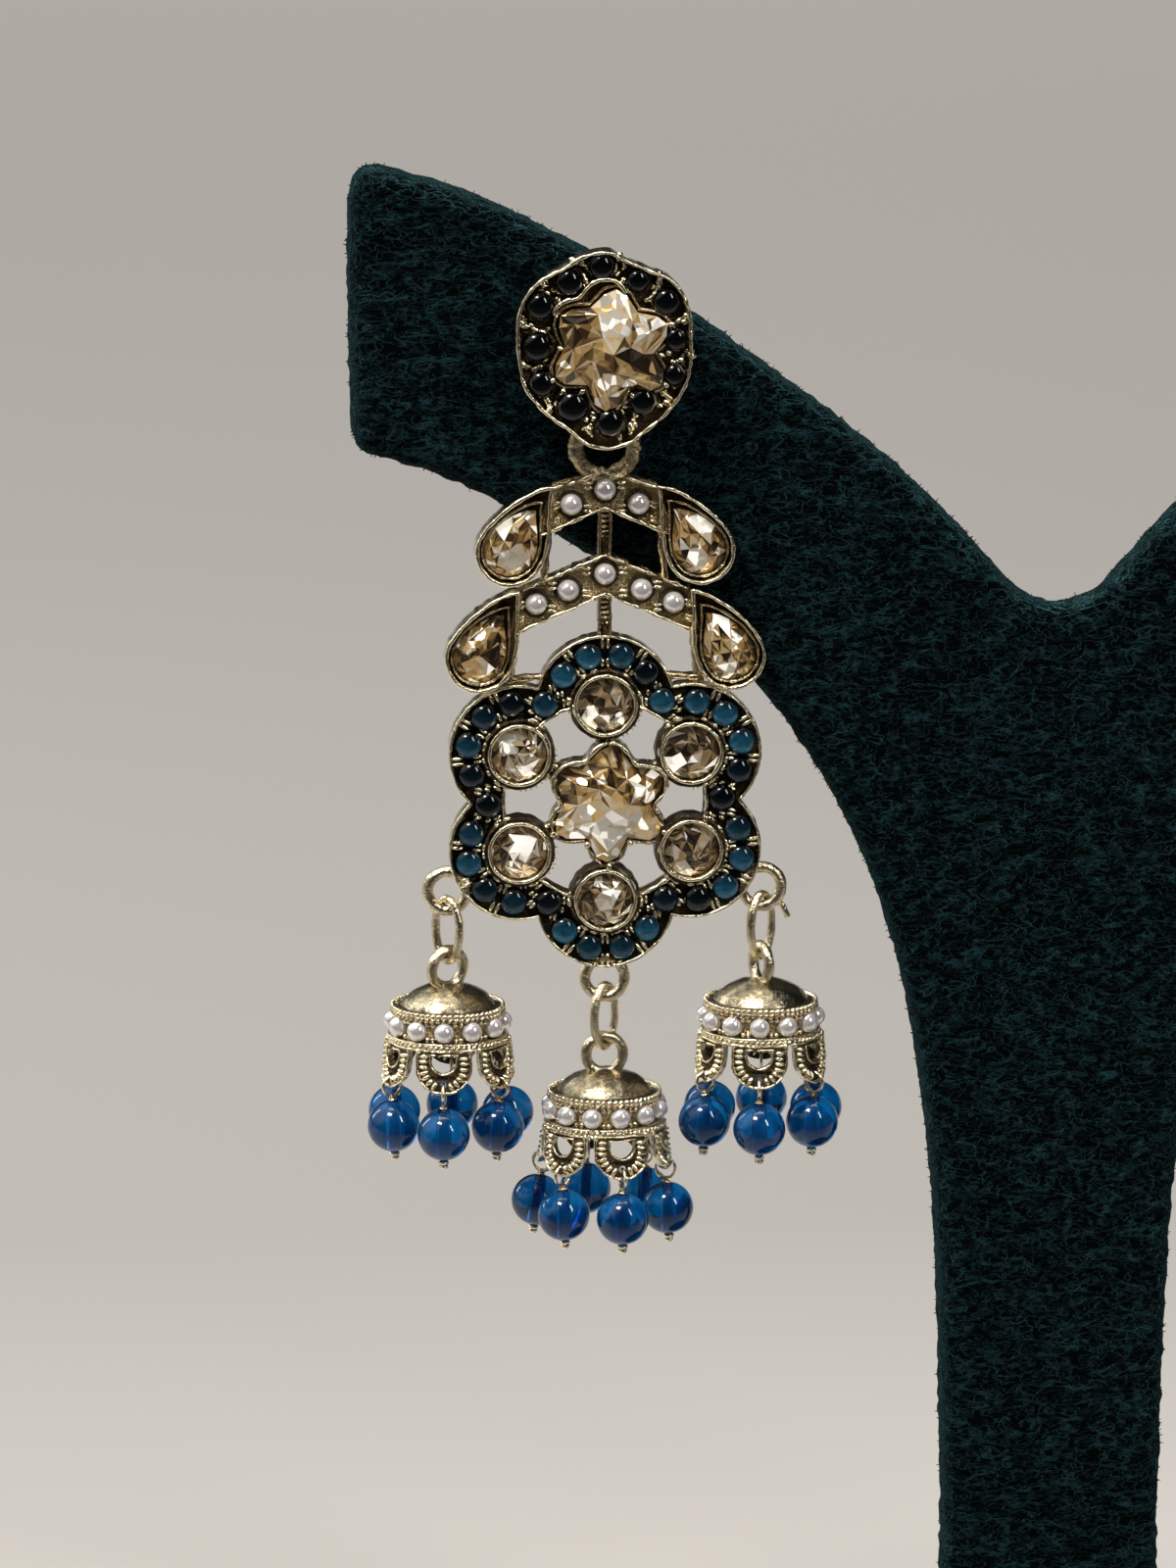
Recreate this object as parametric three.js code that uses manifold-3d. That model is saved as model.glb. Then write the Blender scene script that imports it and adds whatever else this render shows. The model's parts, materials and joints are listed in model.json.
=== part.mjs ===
// A jhumka drop earring, hung by its post on a suede-covered Y-shaped display stand.
// Units are millimetres. +Z is up, the front faces -Y, and the origin is the centre of the
// stand's flat underside. The earring is laid out from the centre of its stud: "across" is +X
// and "level" is +Z measured from that centre.
import * as THREE from "three";
import { mergeVertices } from "three/addons/utils/BufferGeometryUtils.js";
import Module from "manifold-3d";

const wasm = await Module();
wasm.setup();

// ---------------------------------------------------------------- driving dimensions

const STAND = {
  thickness: 6, // of the covered board
  edgeRound: 1.5,
  trunkHalf: 8.5,
  studLevel: 124, // height of the stud's centre above the table
  outlineDrop: 1.35, // the board's outline table is measured from this far below the stud
  baseRadius: 28,
  baseThickness: 7,
  slotDepth: 4,
  fit: 0.3, // gap round the board in its slot
};
const GOLD = { color: 0xc9b078, roughness: 0.32, metalness: 1 };
const SUEDE = { color: 0x0f2a2e, roughness: 0.95, metalness: 0 };
const CRYSTAL = { color: 0xe6cfa4, roughness: 0.05, metalness: 0.2 };
const BLUE_GLASS = { color: 0x0b4a92, roughness: 0.08, metalness: 0 };

const EARRING_X = -36; // the stud's centre along the left arm
const BOARD_FRONT = -STAND.thickness / 2;
const BOARD_BACK = STAND.thickness / 2;

// The hook: an eye behind the stud, and the ring of the drop that hangs in it.
const EYE = { radius: 1.1, wire: 0.3, clear: 0.3 };
const DROP_Y = BOARD_FRONT - EYE.clear - EYE.radius - EYE.wire; // middle plane of the drop
const HANG_RING = { level: -8.3, outer: 2.9, hole: 1.6, holeUp: 0.45, thickness: 0.9, edge: 0.2 };
const PIVOT_LEVEL =
  HANG_RING.level + (HANG_RING.outer + HANG_RING.hole + HANG_RING.holeUp) / 2;

const STUD = {
  back: DROP_Y - EYE.radius,
  floor: 1.2,
  wallHeight: 1.3,
  wall: 0.4,
  // The uneven rim: degrees clockwise from the top, and distance from the middle.
  rim: [
    [0, 7.5], [14, 6.95], [28, 6.9], [42, 7.2], [56, 7.2], [71, 6.8], [86, 6.55], [102, 6.65],
    [120, 6.85], [136, 6.95], [154, 7.2], [168, 7.75], [180, 7.95], [192, 7.75], [206, 7.1],
    [228, 7.05], [246, 7.15], [262, 7.0], [276, 7.1], [290, 7.4], [303, 7.6], [317, 7.45],
    [331, 7.15], [345, 7.45], [360, 7.5],
  ],
  postRadius: 0.45,
  postReach: BOARD_BACK + 4.0,
};
const STAR = { tip: 4.55, valley: 3.2, wall: 0.3, points: 6 };
const CLUTCH = { gap: 0.3, length: 3.6, radius: 2.3, neck: 1.4 };

// The cast frame of the drop, front and back faces as depths from its back.
const FRAME = { back: DROP_Y + 0.9, plate: 1.8, channelFloor: 1.0, bezelTop: 2.3 };
const FLOWER = {
  level: -36.2,
  pitch: 7.76, // of the six round stones
  lobe: 5.5,
  wall: 0.45,
  windowRadius: 7.9,
  lobes: 6,
};
const ROUND_STONE = { radius: 2.1, pocket: 2.25, bezel: 2.53 };
const SPOKE_WIDTH = 1.5;
const BAR_HALF = 0.55;
const SIDE_RING = { pitch: 14.2, radius: 1.55, wire: 0.5 };

// Each leaf: centre of its round end and its tip, on the +X side.
const LEAVES = [
  { name: "upper", centre: [7.4, -16.3], tip: [4.1, -11.2] },
  { name: "lower", centre: [9.8, -24.65], tip: [6.7, -19.4] },
];
const LEAF = { round: 2.7, pocket: 2.3, stone: 2.0, pocketShort: 0.75, stoneShort: 1.45 };

// Half outlines of the two chevrons, on the +X side: [across, level].
const CHEVRONS = [
  [[0, -10.0], [4.1, -11.2], [5.0, -14.0], [4.5, -15.1], [0, -13.05]],
  [[0, -16.55], [4.2, -18.3], [6.9, -19.4], [7.4, -22.6], [6.6, -22.8], [0, -19.86]],
];
// Slim rails that close the windows: [across, level] corners on the +X side.
const RAILS = [
  [[4.0, -14.0], [4.7, -14.0], [5.4, -18.9], [4.5, -18.9]],
  [[6.5, -22.0], [7.2, -22.0], [7.9, -26.9], [6.9, -26.9]],
  [[4.6, -26.15], [7.9, -26.15], [7.9, -27.2], [4.6, -26.7]],
];

const BELL = {
  wall: 0.5,
  scallops: 6,
  ring: { radius: 1.45, wire: 0.45 },
  skirtTop: -5.6,
  skirtBottom: -8.9,
  scallopHalf: 2.15,
  window: { top: -5.85, level: -6.3, half: 1.05 }, // of each scallop's opening, round below level
  pinHole: { level: -8.15, radius: 0.4, reach: 4.88 },
};
const HANG_GAP = 6.2; // from a frame ring's centre to the centre of the bell's ring
const LINK = { half: 1.45, wire: 0.28, seat: 0.5 };
const BEAD = { radius: 2.05, bore: 0.45, drop: 3.98 }; // drop is measured from the pin hole
const PIN = { wire: 0.17, eye: 0.9, head: 0.38, headLength: 0.3, tail: 0.35 };

// Each bell: where its frame ring lies round the flower (degrees clockwise from the top), the
// turn of its own ring, of its link and of its scallops, and how far each bead swings outwards.
const BELLS = [
  { name: "left", at: 240, ringTurn: 30, linkTurn: -50, turn: -7, swing: [2, -3, 5, 0, 3, -2] },
  { name: "centre", at: 180, ringTurn: 0, linkTurn: 50, turn: 13, swing: [0, 3, -2, 4, 8, -3] },
  { name: "right", at: 120, ringTurn: -70, linkTurn: 48, turn: -6, swing: [3, -2, 2, 4, -3, 2] },
];

// ---------------------------------------------------------------- solids

const radians = THREE.MathUtils.degToRad;
const UP = new THREE.Vector3(0, 0, 1);

// A closed geometry as a manifold solid; slivers that merging leaves behind are dropped.
function solidOf(geometry) {
  const loose = new THREE.BufferGeometry();
  const source = geometry.index ? geometry.toNonIndexed() : geometry;
  loose.setAttribute("position", source.getAttribute("position"));
  const merged = mergeVertices(loose, 1e-4);
  const index = merged.index.array;
  const kept = [];
  for (let i = 0; i < index.length; i += 3) {
    const [a, b, c] = [index[i], index[i + 1], index[i + 2]];
    if (a !== b && b !== c && c !== a) kept.push(a, b, c);
  }
  return new wasm.Manifold(
    new wasm.Mesh({
      numProp: 3,
      vertProperties: merged.attributes.position.array,
      triVerts: new Uint32Array(kept),
    }),
  );
}

function geometryOf(solid) {
  const mesh = solid.getMesh();
  const positions = new Float32Array(mesh.numVert * 3);
  for (let i = 0; i < mesh.numVert; i++) {
    const start = i * mesh.numProp;
    positions.set(mesh.vertProperties.subarray(start, start + 3), i * 3);
  }
  const geometry = new THREE.BufferGeometry();
  geometry.setAttribute("position", new THREE.BufferAttribute(positions, 3));
  geometry.setIndex(new THREE.BufferAttribute(new Uint32Array(mesh.triVerts), 1));
  geometry.computeVertexNormals();
  return geometry;
}

const join = (solids) => solids.reduce((sum, next) => sum.add(next));
const cut = (solid, tools) => solid.subtract(join(tools));

// An upright plate: a shape drawn in X and Z, from depth `back` forward to depth `front`.
function plate(shape, back, front, options = {}) {
  const { edge = 0, curveSegments = 8 } = options;
  const geometry = new THREE.ExtrudeGeometry(shape, {
    depth: back - front - 2 * edge,
    bevelEnabled: edge > 0,
    bevelThickness: edge,
    bevelSize: edge,
    bevelOffset: -edge,
    bevelSegments: options.edgeSteps ?? 1,
    curveSegments,
  });
  geometry.translate(0, 0, edge);
  geometry.rotateX(Math.PI / 2);
  geometry.translate(0, back, 0);
  return solidOf(geometry);
}

const polygon = (points) => new THREE.Shape(points.map(([x, z]) => new THREE.Vector2(x, z)));
const mirrored = (points) => points.map(([x, z]) => [-x, z]);

function disc(x, z, radius) {
  const shape = new THREE.Shape();
  shape.absarc(x, z, radius, 0, 2 * Math.PI, false);
  return shape;
}

// A turned solid about the Z axis, from [radius, height] pairs in order up the outside.
function turned(profile, segments) {
  const points = profile.map(([r, z]) => new THREE.Vector2(r, z));
  const geometry = new THREE.LatheGeometry(points, segments);
  geometry.rotateX(Math.PI / 2);
  return geometry;
}

// A ring of round wire standing in the XZ plane. `stretch` pulls its halves apart along Z.
function wireRing(radius, wire, { stretch = 0, sides = 6, steps = 16 } = {}) {
  const geometry = new THREE.TorusGeometry(radius, wire, sides, steps);
  geometry.rotateZ(Math.PI / steps);
  geometry.rotateX(Math.PI / 2);
  const position = geometry.getAttribute("position");
  for (let i = 0; i < position.count; i++) {
    position.setZ(i, position.getZ(i) + Math.sign(position.getZ(i)) * stretch);
  }
  return geometry;
}

// A point at a clockwise angle from the top, round a centre on the drop's middle line.
function around(level, distance, degrees) {
  const angle = radians(degrees);
  return [distance * Math.sin(angle), level + distance * Math.cos(angle)];
}

// ---------------------------------------------------------------- stand

// Half outline of the board on the +X side, as [across, level] from the valley to the foot.
function boardOutline() {
  const base = STAND.studLevel - STAND.outlineDrop;
  const topEdge = [
    [0, -20.7], [2.0, -20.2], [3.9, -18.8], [8.8, -13.4], [15.0, -7.6],
    [21.5, -2.6], [29.0, 2.8], [38.3, 8.4], [45.5, 12.0], [52.8, 14.4],
  ];
  const tip = [[54.9, 13.8], [55.5, 12.0], [55.4, -6.2], [54.9, -7.5], [53.4, -8.1]];
  const lowerEdge = [
    [53.4, -8.1], [46.8, -10.3], [38.7, -14.9], [30.5, -20.4], [23.5, -26.8],
    [16.5, -37.7], [12.2, -50.0], [9.9, -64.0], [9.1, -75.0], [8.6, -92.0],
  ];
  const smooth = (table, steps) =>
    new THREE.SplineCurve(table.map(([x, z]) => new THREE.Vector2(x, z)))
      .getPoints(steps)
      .map((p) => [p.x, p.y]);
  const half = [...smooth(topEdge, 18), ...tip, ...smooth(lowerEdge, 16).slice(1)];
  const foot = STAND.baseThickness - STAND.slotDepth + STAND.fit;
  const placed = half.map(([x, z]) => [x, z + base]);
  placed.push([STAND.trunkHalf, foot]);
  return [...placed, ...mirrored(placed).reverse().slice(0, -1)];
}

function standBoard() {
  const board = plate(polygon(boardOutline()), BOARD_BACK, BOARD_FRONT, {
    edge: STAND.edgeRound,
    edgeSteps: 2,
  });
  const postHole = plate(disc(EARRING_X, STAND.studLevel, 0.8), 10, -10, { curveSegments: 6 });
  return cut(board, [postHole]);
}

function standBase() {
  const { baseRadius: r, baseThickness: t, edgeRound: e } = STAND;
  const low = e * 0.3;
  const profile = [
    [0, 0], [r - e, 0], [r - low, low], [r, e], [r, t - e], [r - low, t - low], [r - e, t], [0, t],
  ];
  const slotHalf = STAND.trunkHalf + STAND.fit;
  const floor = t - STAND.slotDepth;
  const slot = polygon([[-slotHalf, floor], [slotHalf, floor], [slotHalf, 20], [-slotHalf, 20]]);
  const depth = STAND.thickness / 2 + STAND.fit;
  return cut(solidOf(turned(profile, 36)), [plate(slot, depth, -depth)]);
}

// ---------------------------------------------------------------- stud

// A closed polar outline, from a function of the clockwise angle in degrees.
function polarOutline(level, radiusAt, steps) {
  return Array.from({ length: steps }, (_, i) => {
    const degrees = (360 * i) / steps;
    return around(level, radiusAt(degrees), degrees);
  });
}

// Six rounded points: the radius swings between tip and valley.
function starOutline(level, grow, steps = 36) {
  const { tip, valley, points } = STAR;
  return polarOutline(
    level,
    (degrees) => {
      const phase = Math.abs(Math.cos(radians((points * degrees) / 2)));
      return valley + grow + (tip - valley) * phase ** 2;
    },
    steps,
  );
}

function rimRadius(degrees) {
  const next = STUD.rim.findIndex(([angle]) => angle > degrees);
  const [[fromAngle, from], [toAngle, to]] = [STUD.rim[next - 1], STUD.rim[next]];
  return from + ((to - from) * (degrees - fromAngle)) / (toAngle - fromAngle);
}

function studBody() {
  const rim = (inset) => polygon(polarOutline(0, (d) => rimRadius(d) - inset, 48));
  const front = STUD.back - STUD.floor - STUD.wallHeight;
  const floorFront = STUD.back - STUD.floor;
  const body = plate(rim(0), STUD.back, front);
  const channel = plate(rim(STUD.wall), floorFront, front - 1);
  const starBox = plate(polygon(starOutline(0, STAR.wall + 0.25)), floorFront + 0.1, front - 0.3);
  const starPocket = plate(polygon(starOutline(0, 0.2)), floorFront - 0.3, front - 1);
  const post = new THREE.CylinderGeometry(
    STUD.postRadius,
    STUD.postRadius,
    STUD.postReach - STUD.back + 0.5,
    8,
  ).translate(0, (STUD.postReach + STUD.back - 0.5) / 2, 0);
  const eye = wireRing(EYE.radius, EYE.wire);
  eye.rotateZ(Math.PI / 2).translate(0, DROP_Y, PIVOT_LEVEL);
  const cup = join([cut(body, [channel]), starBox]);
  return join([cut(cup, [starPocket]), solidOf(post), solidOf(eye)]);
}

// A cut stone: its outline drawn in and out round a centre, from the back layer to the front.
// Each layer is [share of the outline, depth forward]. Both ends are closed by flat fans.
function cutStone(outline, [cx, cz], back, layers) {
  const positions = [];
  const triangles = [];
  const count = outline.length;
  for (const [share, forward] of layers) {
    for (const [x, z] of outline) {
      positions.push(cx + (x - cx) * share, back - forward, cz + (z - cz) * share);
    }
  }
  const ends = [layers[0], layers[layers.length - 1]].map(([, forward]) => {
    positions.push(cx, back - forward, cz);
    return positions.length / 3 - 1;
  });
  for (let i = 0; i < count; i++) {
    const next = (i + 1) % count;
    for (let layer = 0; layer < layers.length - 1; layer++) {
      const [low, high] = [layer * count, (layer + 1) * count];
      triangles.push([low + i, high + i, high + next], [low + i, high + next, low + next]);
    }
    const top = (layers.length - 1) * count;
    triangles.push([ends[0], i, next], [ends[1], top + next, top + i]);
  }
  const geometry = new THREE.BufferGeometry();
  geometry.setAttribute("position", new THREE.Float32BufferAttribute(positions, 3));
  geometry.setIndex(triangles.flat());
  const facing = signedVolume(geometry) > 0;
  if (!facing) geometry.setIndex(triangles.flatMap(([a, b, c]) => [a, c, b]));
  geometry.computeVertexNormals();
  return geometry;
}

function signedVolume(geometry) {
  const at = geometry.getAttribute("position");
  const index = geometry.index.array;
  const corners = [new THREE.Vector3(), new THREE.Vector3(), new THREE.Vector3()];
  let volume = 0;
  for (let i = 0; i < index.length; i += 3) {
    corners.forEach((corner, k) => corner.fromBufferAttribute(at, index[i + k]));
    volume += corners[0].dot(corners[1].clone().cross(corners[2])) / 6;
  }
  return volume;
}

function starStone(back) {
  const layers = [[0.72, 0], [1, 0.75], [1, 0.95], [0.55, 1.75], [0.3, 2.0]];
  return cutStone(starOutline(0, -0.25, 12), [0, 0], back, layers);
}

function clutch() {
  const { gap, length, radius, neck } = CLUTCH;
  const bore = STUD.postRadius + gap;
  const profile = [
    [bore, 0], [radius, 0], [radius, 1.1], [neck, 1.5], [neck, length - 0.4],
    [neck - 0.3, length], [bore, length], [bore, 0],
  ];
  const geometry = turned(profile, 20);
  geometry.rotateX(-Math.PI / 2).translate(0, BOARD_BACK + gap, 0);
  return geometry;
}

// ---------------------------------------------------------------- drop

const FRAME_FRONT = FRAME.back - FRAME.plate;
const BEZEL_FRONT = FRAME.back - FRAME.bezelTop;

// The union outline of equal discs set round a circle.
function lobedShape(radius) {
  const { level, pitch, lobes } = FLOWER;
  const half = Math.PI / lobes;
  const reach = pitch * Math.cos(half) + Math.sqrt(radius ** 2 - (pitch * Math.sin(half)) ** 2);
  const sweep = Math.atan2(reach * Math.sin(half), reach * Math.cos(half) - pitch);
  const shape = new THREE.Shape();
  for (let i = 0; i < lobes; i++) {
    const [x, z] = around(level, pitch, (-360 * i) / lobes);
    const axis = Math.PI / 2 + 2 * half * i;
    shape.absarc(x, z, radius, axis - sweep, axis + sweep, false);
  }
  return shape;
}

const lobeAngles = Array.from({ length: FLOWER.lobes }, (_, i) => (360 * i) / FLOWER.lobes);
const roundStoneCentres = lobeAngles.map((a) => around(FLOWER.level, FLOWER.pitch, a));

// A leaf's outline: a round end that runs into a tip, fuller on its outer side.
function leafOutline(leaf, round, shorten, side) {
  const [cx, cz] = leaf.centre;
  const axis = new THREE.Vector2(leaf.tip[0] - cx, leaf.tip[1] - cz);
  const length = axis.length() - shorten;
  axis.normalize();
  const shape = new THREE.Shape();
  const leave = radians(10);
  const outerStart = [round, 0];
  shape.moveTo(0, length);
  shape.bezierCurveTo(-0.2 * round, length * 0.75, -0.95 * round, 0.9 * round,
    -round * Math.cos(leave), round * Math.sin(leave));
  shape.absarc(0, 0, round, Math.PI - leave, 2 * Math.PI, false);
  shape.bezierCurveTo(outerStart[0], 0.9 * round, 0.4 * round, length * 0.91, 0, length);
  const points = shape.getPoints(5);
  const distinct = points.filter((p, i) => i > 0 && p.distanceTo(points[i - 1]) > 0.01);
  return distinct.map(({ x: u, y: v }) => [
    side * (cx + axis.y * u + axis.x * v),
    cz - axis.x * u + axis.y * v,
  ]);
}

function hangRing() {
  const { level, outer, hole, holeUp, thickness, edge } = HANG_RING;
  const half = thickness / 2;
  const rim = plate(disc(0, level, outer), DROP_Y + half, DROP_Y - half, { edge, curveSegments: 10 });
  const bore = plate(disc(0, level + holeUp, hole), DROP_Y + 2, DROP_Y - 2, { curveSegments: 8 });
  return cut(rim, [bore]);
}

function dropFrame() {
  const flower = plate(lobedShape(FLOWER.lobe), FRAME.back, FRAME_FRONT, { curveSegments: 6 });
  const channelFloor = FRAME.back - FRAME.channelFloor;
  const bezel = (radius, back, front) =>
    roundStoneCentres.map(([x, z]) => plate(disc(x, z, radius), back, front, { curveSegments: 8 }));
  const cup = join(bezel(ROUND_STONE.bezel, FRAME.back, BEZEL_FRONT));
  const starBox = plate(polygon(starOutline(FLOWER.level, STAR.wall)), FRAME.back, BEZEL_FRONT);
  const spokes = lobeAngles.map((degrees) => {
    const half = SPOKE_WIDTH / 2;
    const [x, z] = around(0, 1, degrees);
    const corner = (along, aside) => [x * along + z * aside, FLOWER.level + z * along - x * aside];
    return plate(
      polygon([corner(3, half), corner(3, -half), corner(6, -half), corner(6, half)]),
      FRAME.back,
      channelFloor,
    );
  });
  const inner = (radius, back) =>
    plate(disc(0, FLOWER.level, radius), back, FRAME_FRONT - 1, { curveSegments: 12 });
  const keep = join([cup, starBox, ...spokes]);
  const windows = inner(FLOWER.windowRadius, FRAME.back + 1).subtract(keep);
  const channel = plate(lobedShape(FLOWER.lobe - FLOWER.wall), channelFloor, FRAME_FRONT - 1, {
    curveSegments: 6,
  }).subtract(join([cup, inner(FLOWER.windowRadius + FLOWER.wall, FRAME.back + 1)]));
  const pockets = bezel(ROUND_STONE.pocket, channelFloor - 0.1, BEZEL_FRONT - 1);
  const starPocket = plate(
    polygon(starOutline(FLOWER.level, 0)), channelFloor - 0.1, BEZEL_FRONT - 1,
  );
  const sides = [1, -1];
  const flat = (table) =>
    sides.flatMap((side) =>
      table.map((points) =>
        plate(polygon(points.map(([x, z]) => [side * x, z])), FRAME.back, FRAME_FRONT + 0.3),
      ),
    );
  const bar = (top, bottom) =>
    plate(
      polygon([[-BAR_HALF, bottom], [BAR_HALF, bottom], [BAR_HALF, top], [-BAR_HALF, top]]),
      FRAME.back,
      FRAME_FRONT + 0.5,
    );
  const leafSolid = (round, shorten, back, front) =>
    sides.flatMap((side) =>
      LEAVES.map((leaf) => plate(polygon(leafOutline(leaf, round, shorten, side)), back, front)),
    );
  const rings = BELLS.map(({ at }) => {
    const [x, z] = around(FLOWER.level, SIDE_RING.pitch, at);
    return solidOf(wireRing(SIDE_RING.radius, SIDE_RING.wire, { steps: 14 }).translate(x, DROP_Y, z));
  });
  const open = cut(join([flower, cup, starBox]), [windows, channel, ...pockets, starPocket]);
  const upper = join([
    ...flat(CHEVRONS),
    ...flat(RAILS),
    bar(-12.6, -17),
    bar(-19.4, -23.2),
    ...leafSolid(LEAF.round, 0, FRAME.back, BEZEL_FRONT),
  ]);
  const leafPockets = leafSolid(LEAF.pocket, LEAF.pocketShort, channelFloor - 0.1, BEZEL_FRONT - 1);
  return join([open, cut(upper, leafPockets), hangRing(), ...rings]);
}

// A cut stone with a flat table, a sloping crown and a shallow back.
function roundStone() {
  const r = ROUND_STONE.radius;
  const profile = [[0, -0.75], [r - 0.15, -0.1], [r, 0], [r, 0.15], [r * 0.58, 0.75], [0, 0.75]];
  const geometry = turned(profile, 16);
  geometry.rotateX(Math.PI / 2).translate(0, FRAME.back - FRAME.channelFloor - 1.0, 0);
  return geometry;
}

function leafStone(leaf, side) {
  const [x, z] = leaf.centre;
  const layers = [[0.6, 0], [1, 0.35], [1, 0.55], [0.5, 1.35]];
  const back = FRAME.back - FRAME.channelFloor - 0.4;
  return cutStone(leafOutline(leaf, LEAF.stone, LEAF.stoneShort, side), [side * x, z], back, layers);
}

// ---------------------------------------------------------------- bells

function bell({ ringTurn, turn }) {
  const top = BELL.skirtTop;
  const bottom = BELL.skirtBottom;
  const profile = [
    [0, -2.0], [2.0, -2.55], [3.2, -3.3], [3.65, -3.7], [3.65, -5.05], [4.3, -5.6], [4.7, bottom],
    [5.2, bottom], [4.85, top], [4.75, -5.1], [4.15, -5.05], [4.15, -3.35],
    [4.45, -3.3], [4.45, -2.9], [3.9, -2.8], [3.1, -2.2], [2.1, -1.65], [1.0, -1.25], [0, -1.15],
  ];
  const shell = solidOf(turned(profile, 24));
  const below = solidOf(turned([[0, bottom - 1], [7, bottom - 1], [7, top - 0.1], [0, top - 0.1]], 12));
  // A shape with straight sides and a half-round lower end.
  const tongueOf = (half, high, straight) => {
    const shape = new THREE.Shape();
    shape.moveTo(-half, high);
    shape.lineTo(-half, straight);
    shape.absarc(0, straight, half, Math.PI, 2 * Math.PI, false);
    shape.lineTo(half, high);
    return shape;
  };
  const tongue = tongueOf(BELL.scallopHalf, top + 0.4, bottom + BELL.scallopHalf);
  const opening = tongueOf(BELL.window.half, BELL.window.top, BELL.window.level);
  const radial = (shape, index, curveSegments) => {
    const degrees = turn + (360 * index) / BELL.scallops;
    return plate(shape, -2.2, -7, { curveSegments }).rotate([0, 0, degrees]);
  };
  const each = (shape, curveSegments) =>
    Array.from({ length: BELL.scallops }, (_, i) => radial(shape, i, curveSegments));
  const gaps = below.subtract(join(each(tongue, 4)));
  const windows = each(opening, 3);
  const pinHoles = each(disc(0, BELL.pinHole.level, BELL.pinHole.radius), 3);
  const ring = wireRing(BELL.ring.radius, BELL.ring.wire, { steps: 12 }).rotateZ(radians(ringTurn));
  return join([cut(shell, [gaps, ...windows, ...pinHoles]), solidOf(ring)]);
}

function link() {
  const length = HANG_GAP - 2 * LINK.seat;
  return wireRing(LINK.half, LINK.wire, { stretch: length / 2 - LINK.half, steps: 14 });
}

// A bead about its own centre, bored through for its pin.
function bead() {
  const { radius, bore } = BEAD;
  const steps = 6;
  const start = Math.asin(bore / radius);
  const outside = Array.from({ length: steps + 1 }, (_, i) => {
    const angle = start + ((Math.PI - 2 * start) * i) / steps;
    return [radius * Math.sin(angle), -radius * Math.cos(angle)];
  });
  return turned([...outside, outside[0]], 10);
}

// A head pin about the bead's centre: a flat head below, a stem, and an eye above.
function pin() {
  const { wire, eye, head, headLength, tail } = PIN;
  const low = -BEAD.radius - tail;
  const eyeCentre = BEAD.drop - eye;
  const stem = [[0, low], [wire, low], [wire, eyeCentre - eye], [0, eyeCentre - eye]];
  const foot = [[0, low - headLength], [head, low - headLength], [head, low], [0, low]];
  const loop = wireRing(eye, wire, { sides: 4, steps: 8 }).translate(0, 0, eyeCentre);
  const solids = [turned(stem, 4), turned(foot, 6), loop].map(solidOf);
  return join(solids);
}

// ---------------------------------------------------------------- assembly

const material = (values) => new THREE.MeshStandardMaterial(values);
const gold = material(GOLD);
const suede = material(SUEDE);
const crystal = material(CRYSTAL);
const blueGlass = material(BLUE_GLASS);

function node(name, shape, surface) {
  const geometry = shape.isBufferGeometry ? shape : geometryOf(shape);
  const mesh = new THREE.Mesh(geometry, surface);
  mesh.name = name;
  return mesh;
}

function addStand(group) {
  group.add(node("stand_board", standBoard(), suede));
  group.add(node("stand_base", standBase(), suede));
}

function addStud(earring) {
  earring.add(node("stud", studBody(), gold));
  earring.add(node("stud_star_stone", starStone(STUD.back - STUD.floor - 0.6), crystal));
  earring.add(node("clutch", clutch(), gold));
}

function addDrop(earring) {
  earring.add(node("drop_frame", dropFrame(), gold));
  const star = node("drop_star_stone", starStone(FRAME.back - FRAME.channelFloor - 0.4), crystal);
  star.position.z = FLOWER.level;
  earring.add(star);
  roundStoneCentres.forEach(([x, z], i) => {
    const stone = node(`round_stone_${i + 1}`, roundStone(), crystal);
    stone.position.set(x, 0, z);
    earring.add(stone);
  });
  for (const leaf of LEAVES) {
    earring.add(node(`leaf_stone_${leaf.name}_right`, leafStone(leaf, 1), crystal));
    earring.add(node(`leaf_stone_${leaf.name}_left`, leafStone(leaf, -1), crystal));
  }
}

function addBell(earring, plan) {
  const [x, z] = around(FLOWER.level, SIDE_RING.pitch, plan.at);
  const hung = new THREE.Group();
  hung.position.set(x, DROP_Y, z - HANG_GAP);
  hung.add(node(`bell_${plan.name}`, bell(plan), gold));
  const joining = node(`link_${plan.name}`, link(), gold);
  joining.position.z = HANG_GAP / 2;
  joining.rotation.z = radians(plan.linkTurn);
  hung.add(joining);
  plan.swing.forEach((swing, i) => {
    const arm = new THREE.Group();
    arm.rotateOnAxis(UP, radians(plan.turn + (360 * i) / BELL.scallops));
    const hook = new THREE.Group();
    hook.position.set(0, -BELL.pinHole.reach, BELL.pinHole.level);
    hook.rotation.x = radians(-swing);
    const drop = -BEAD.drop;
    const glass = node(`bead_${plan.name}_${i + 1}`, bead(), blueGlass);
    const wire = node(`pin_${plan.name}_${i + 1}`, pin(), gold);
    glass.position.z = drop;
    wire.position.z = drop;
    wire.rotation.z = Math.PI / 2;
    hook.add(glass, wire);
    arm.add(hook);
    hung.add(arm);
  });
  earring.add(hung);
}

const model = new THREE.Group();
const earring = new THREE.Group();
earring.position.set(EARRING_X, 0, STAND.studLevel);
addStand(model);
addStud(earring);
addDrop(earring);
for (const plan of BELLS) {
  addBell(earring, plan);
}
model.add(earring);

export default model;
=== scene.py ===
"""Looks for a gold jhumka earring hanging by its post on a suede-covered Y-shaped display stand.

Jewellery is laid out in millimetres on a bench: +X across, +Y up the earring and +Z towards
the front. hang() then stands a piece upright at its depth, in metres. Bells and beads are
turned about +Z, which is already upright.
"""

import json
import math
import random

import bpy
from mathutils import Matrix, Vector, noise


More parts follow.
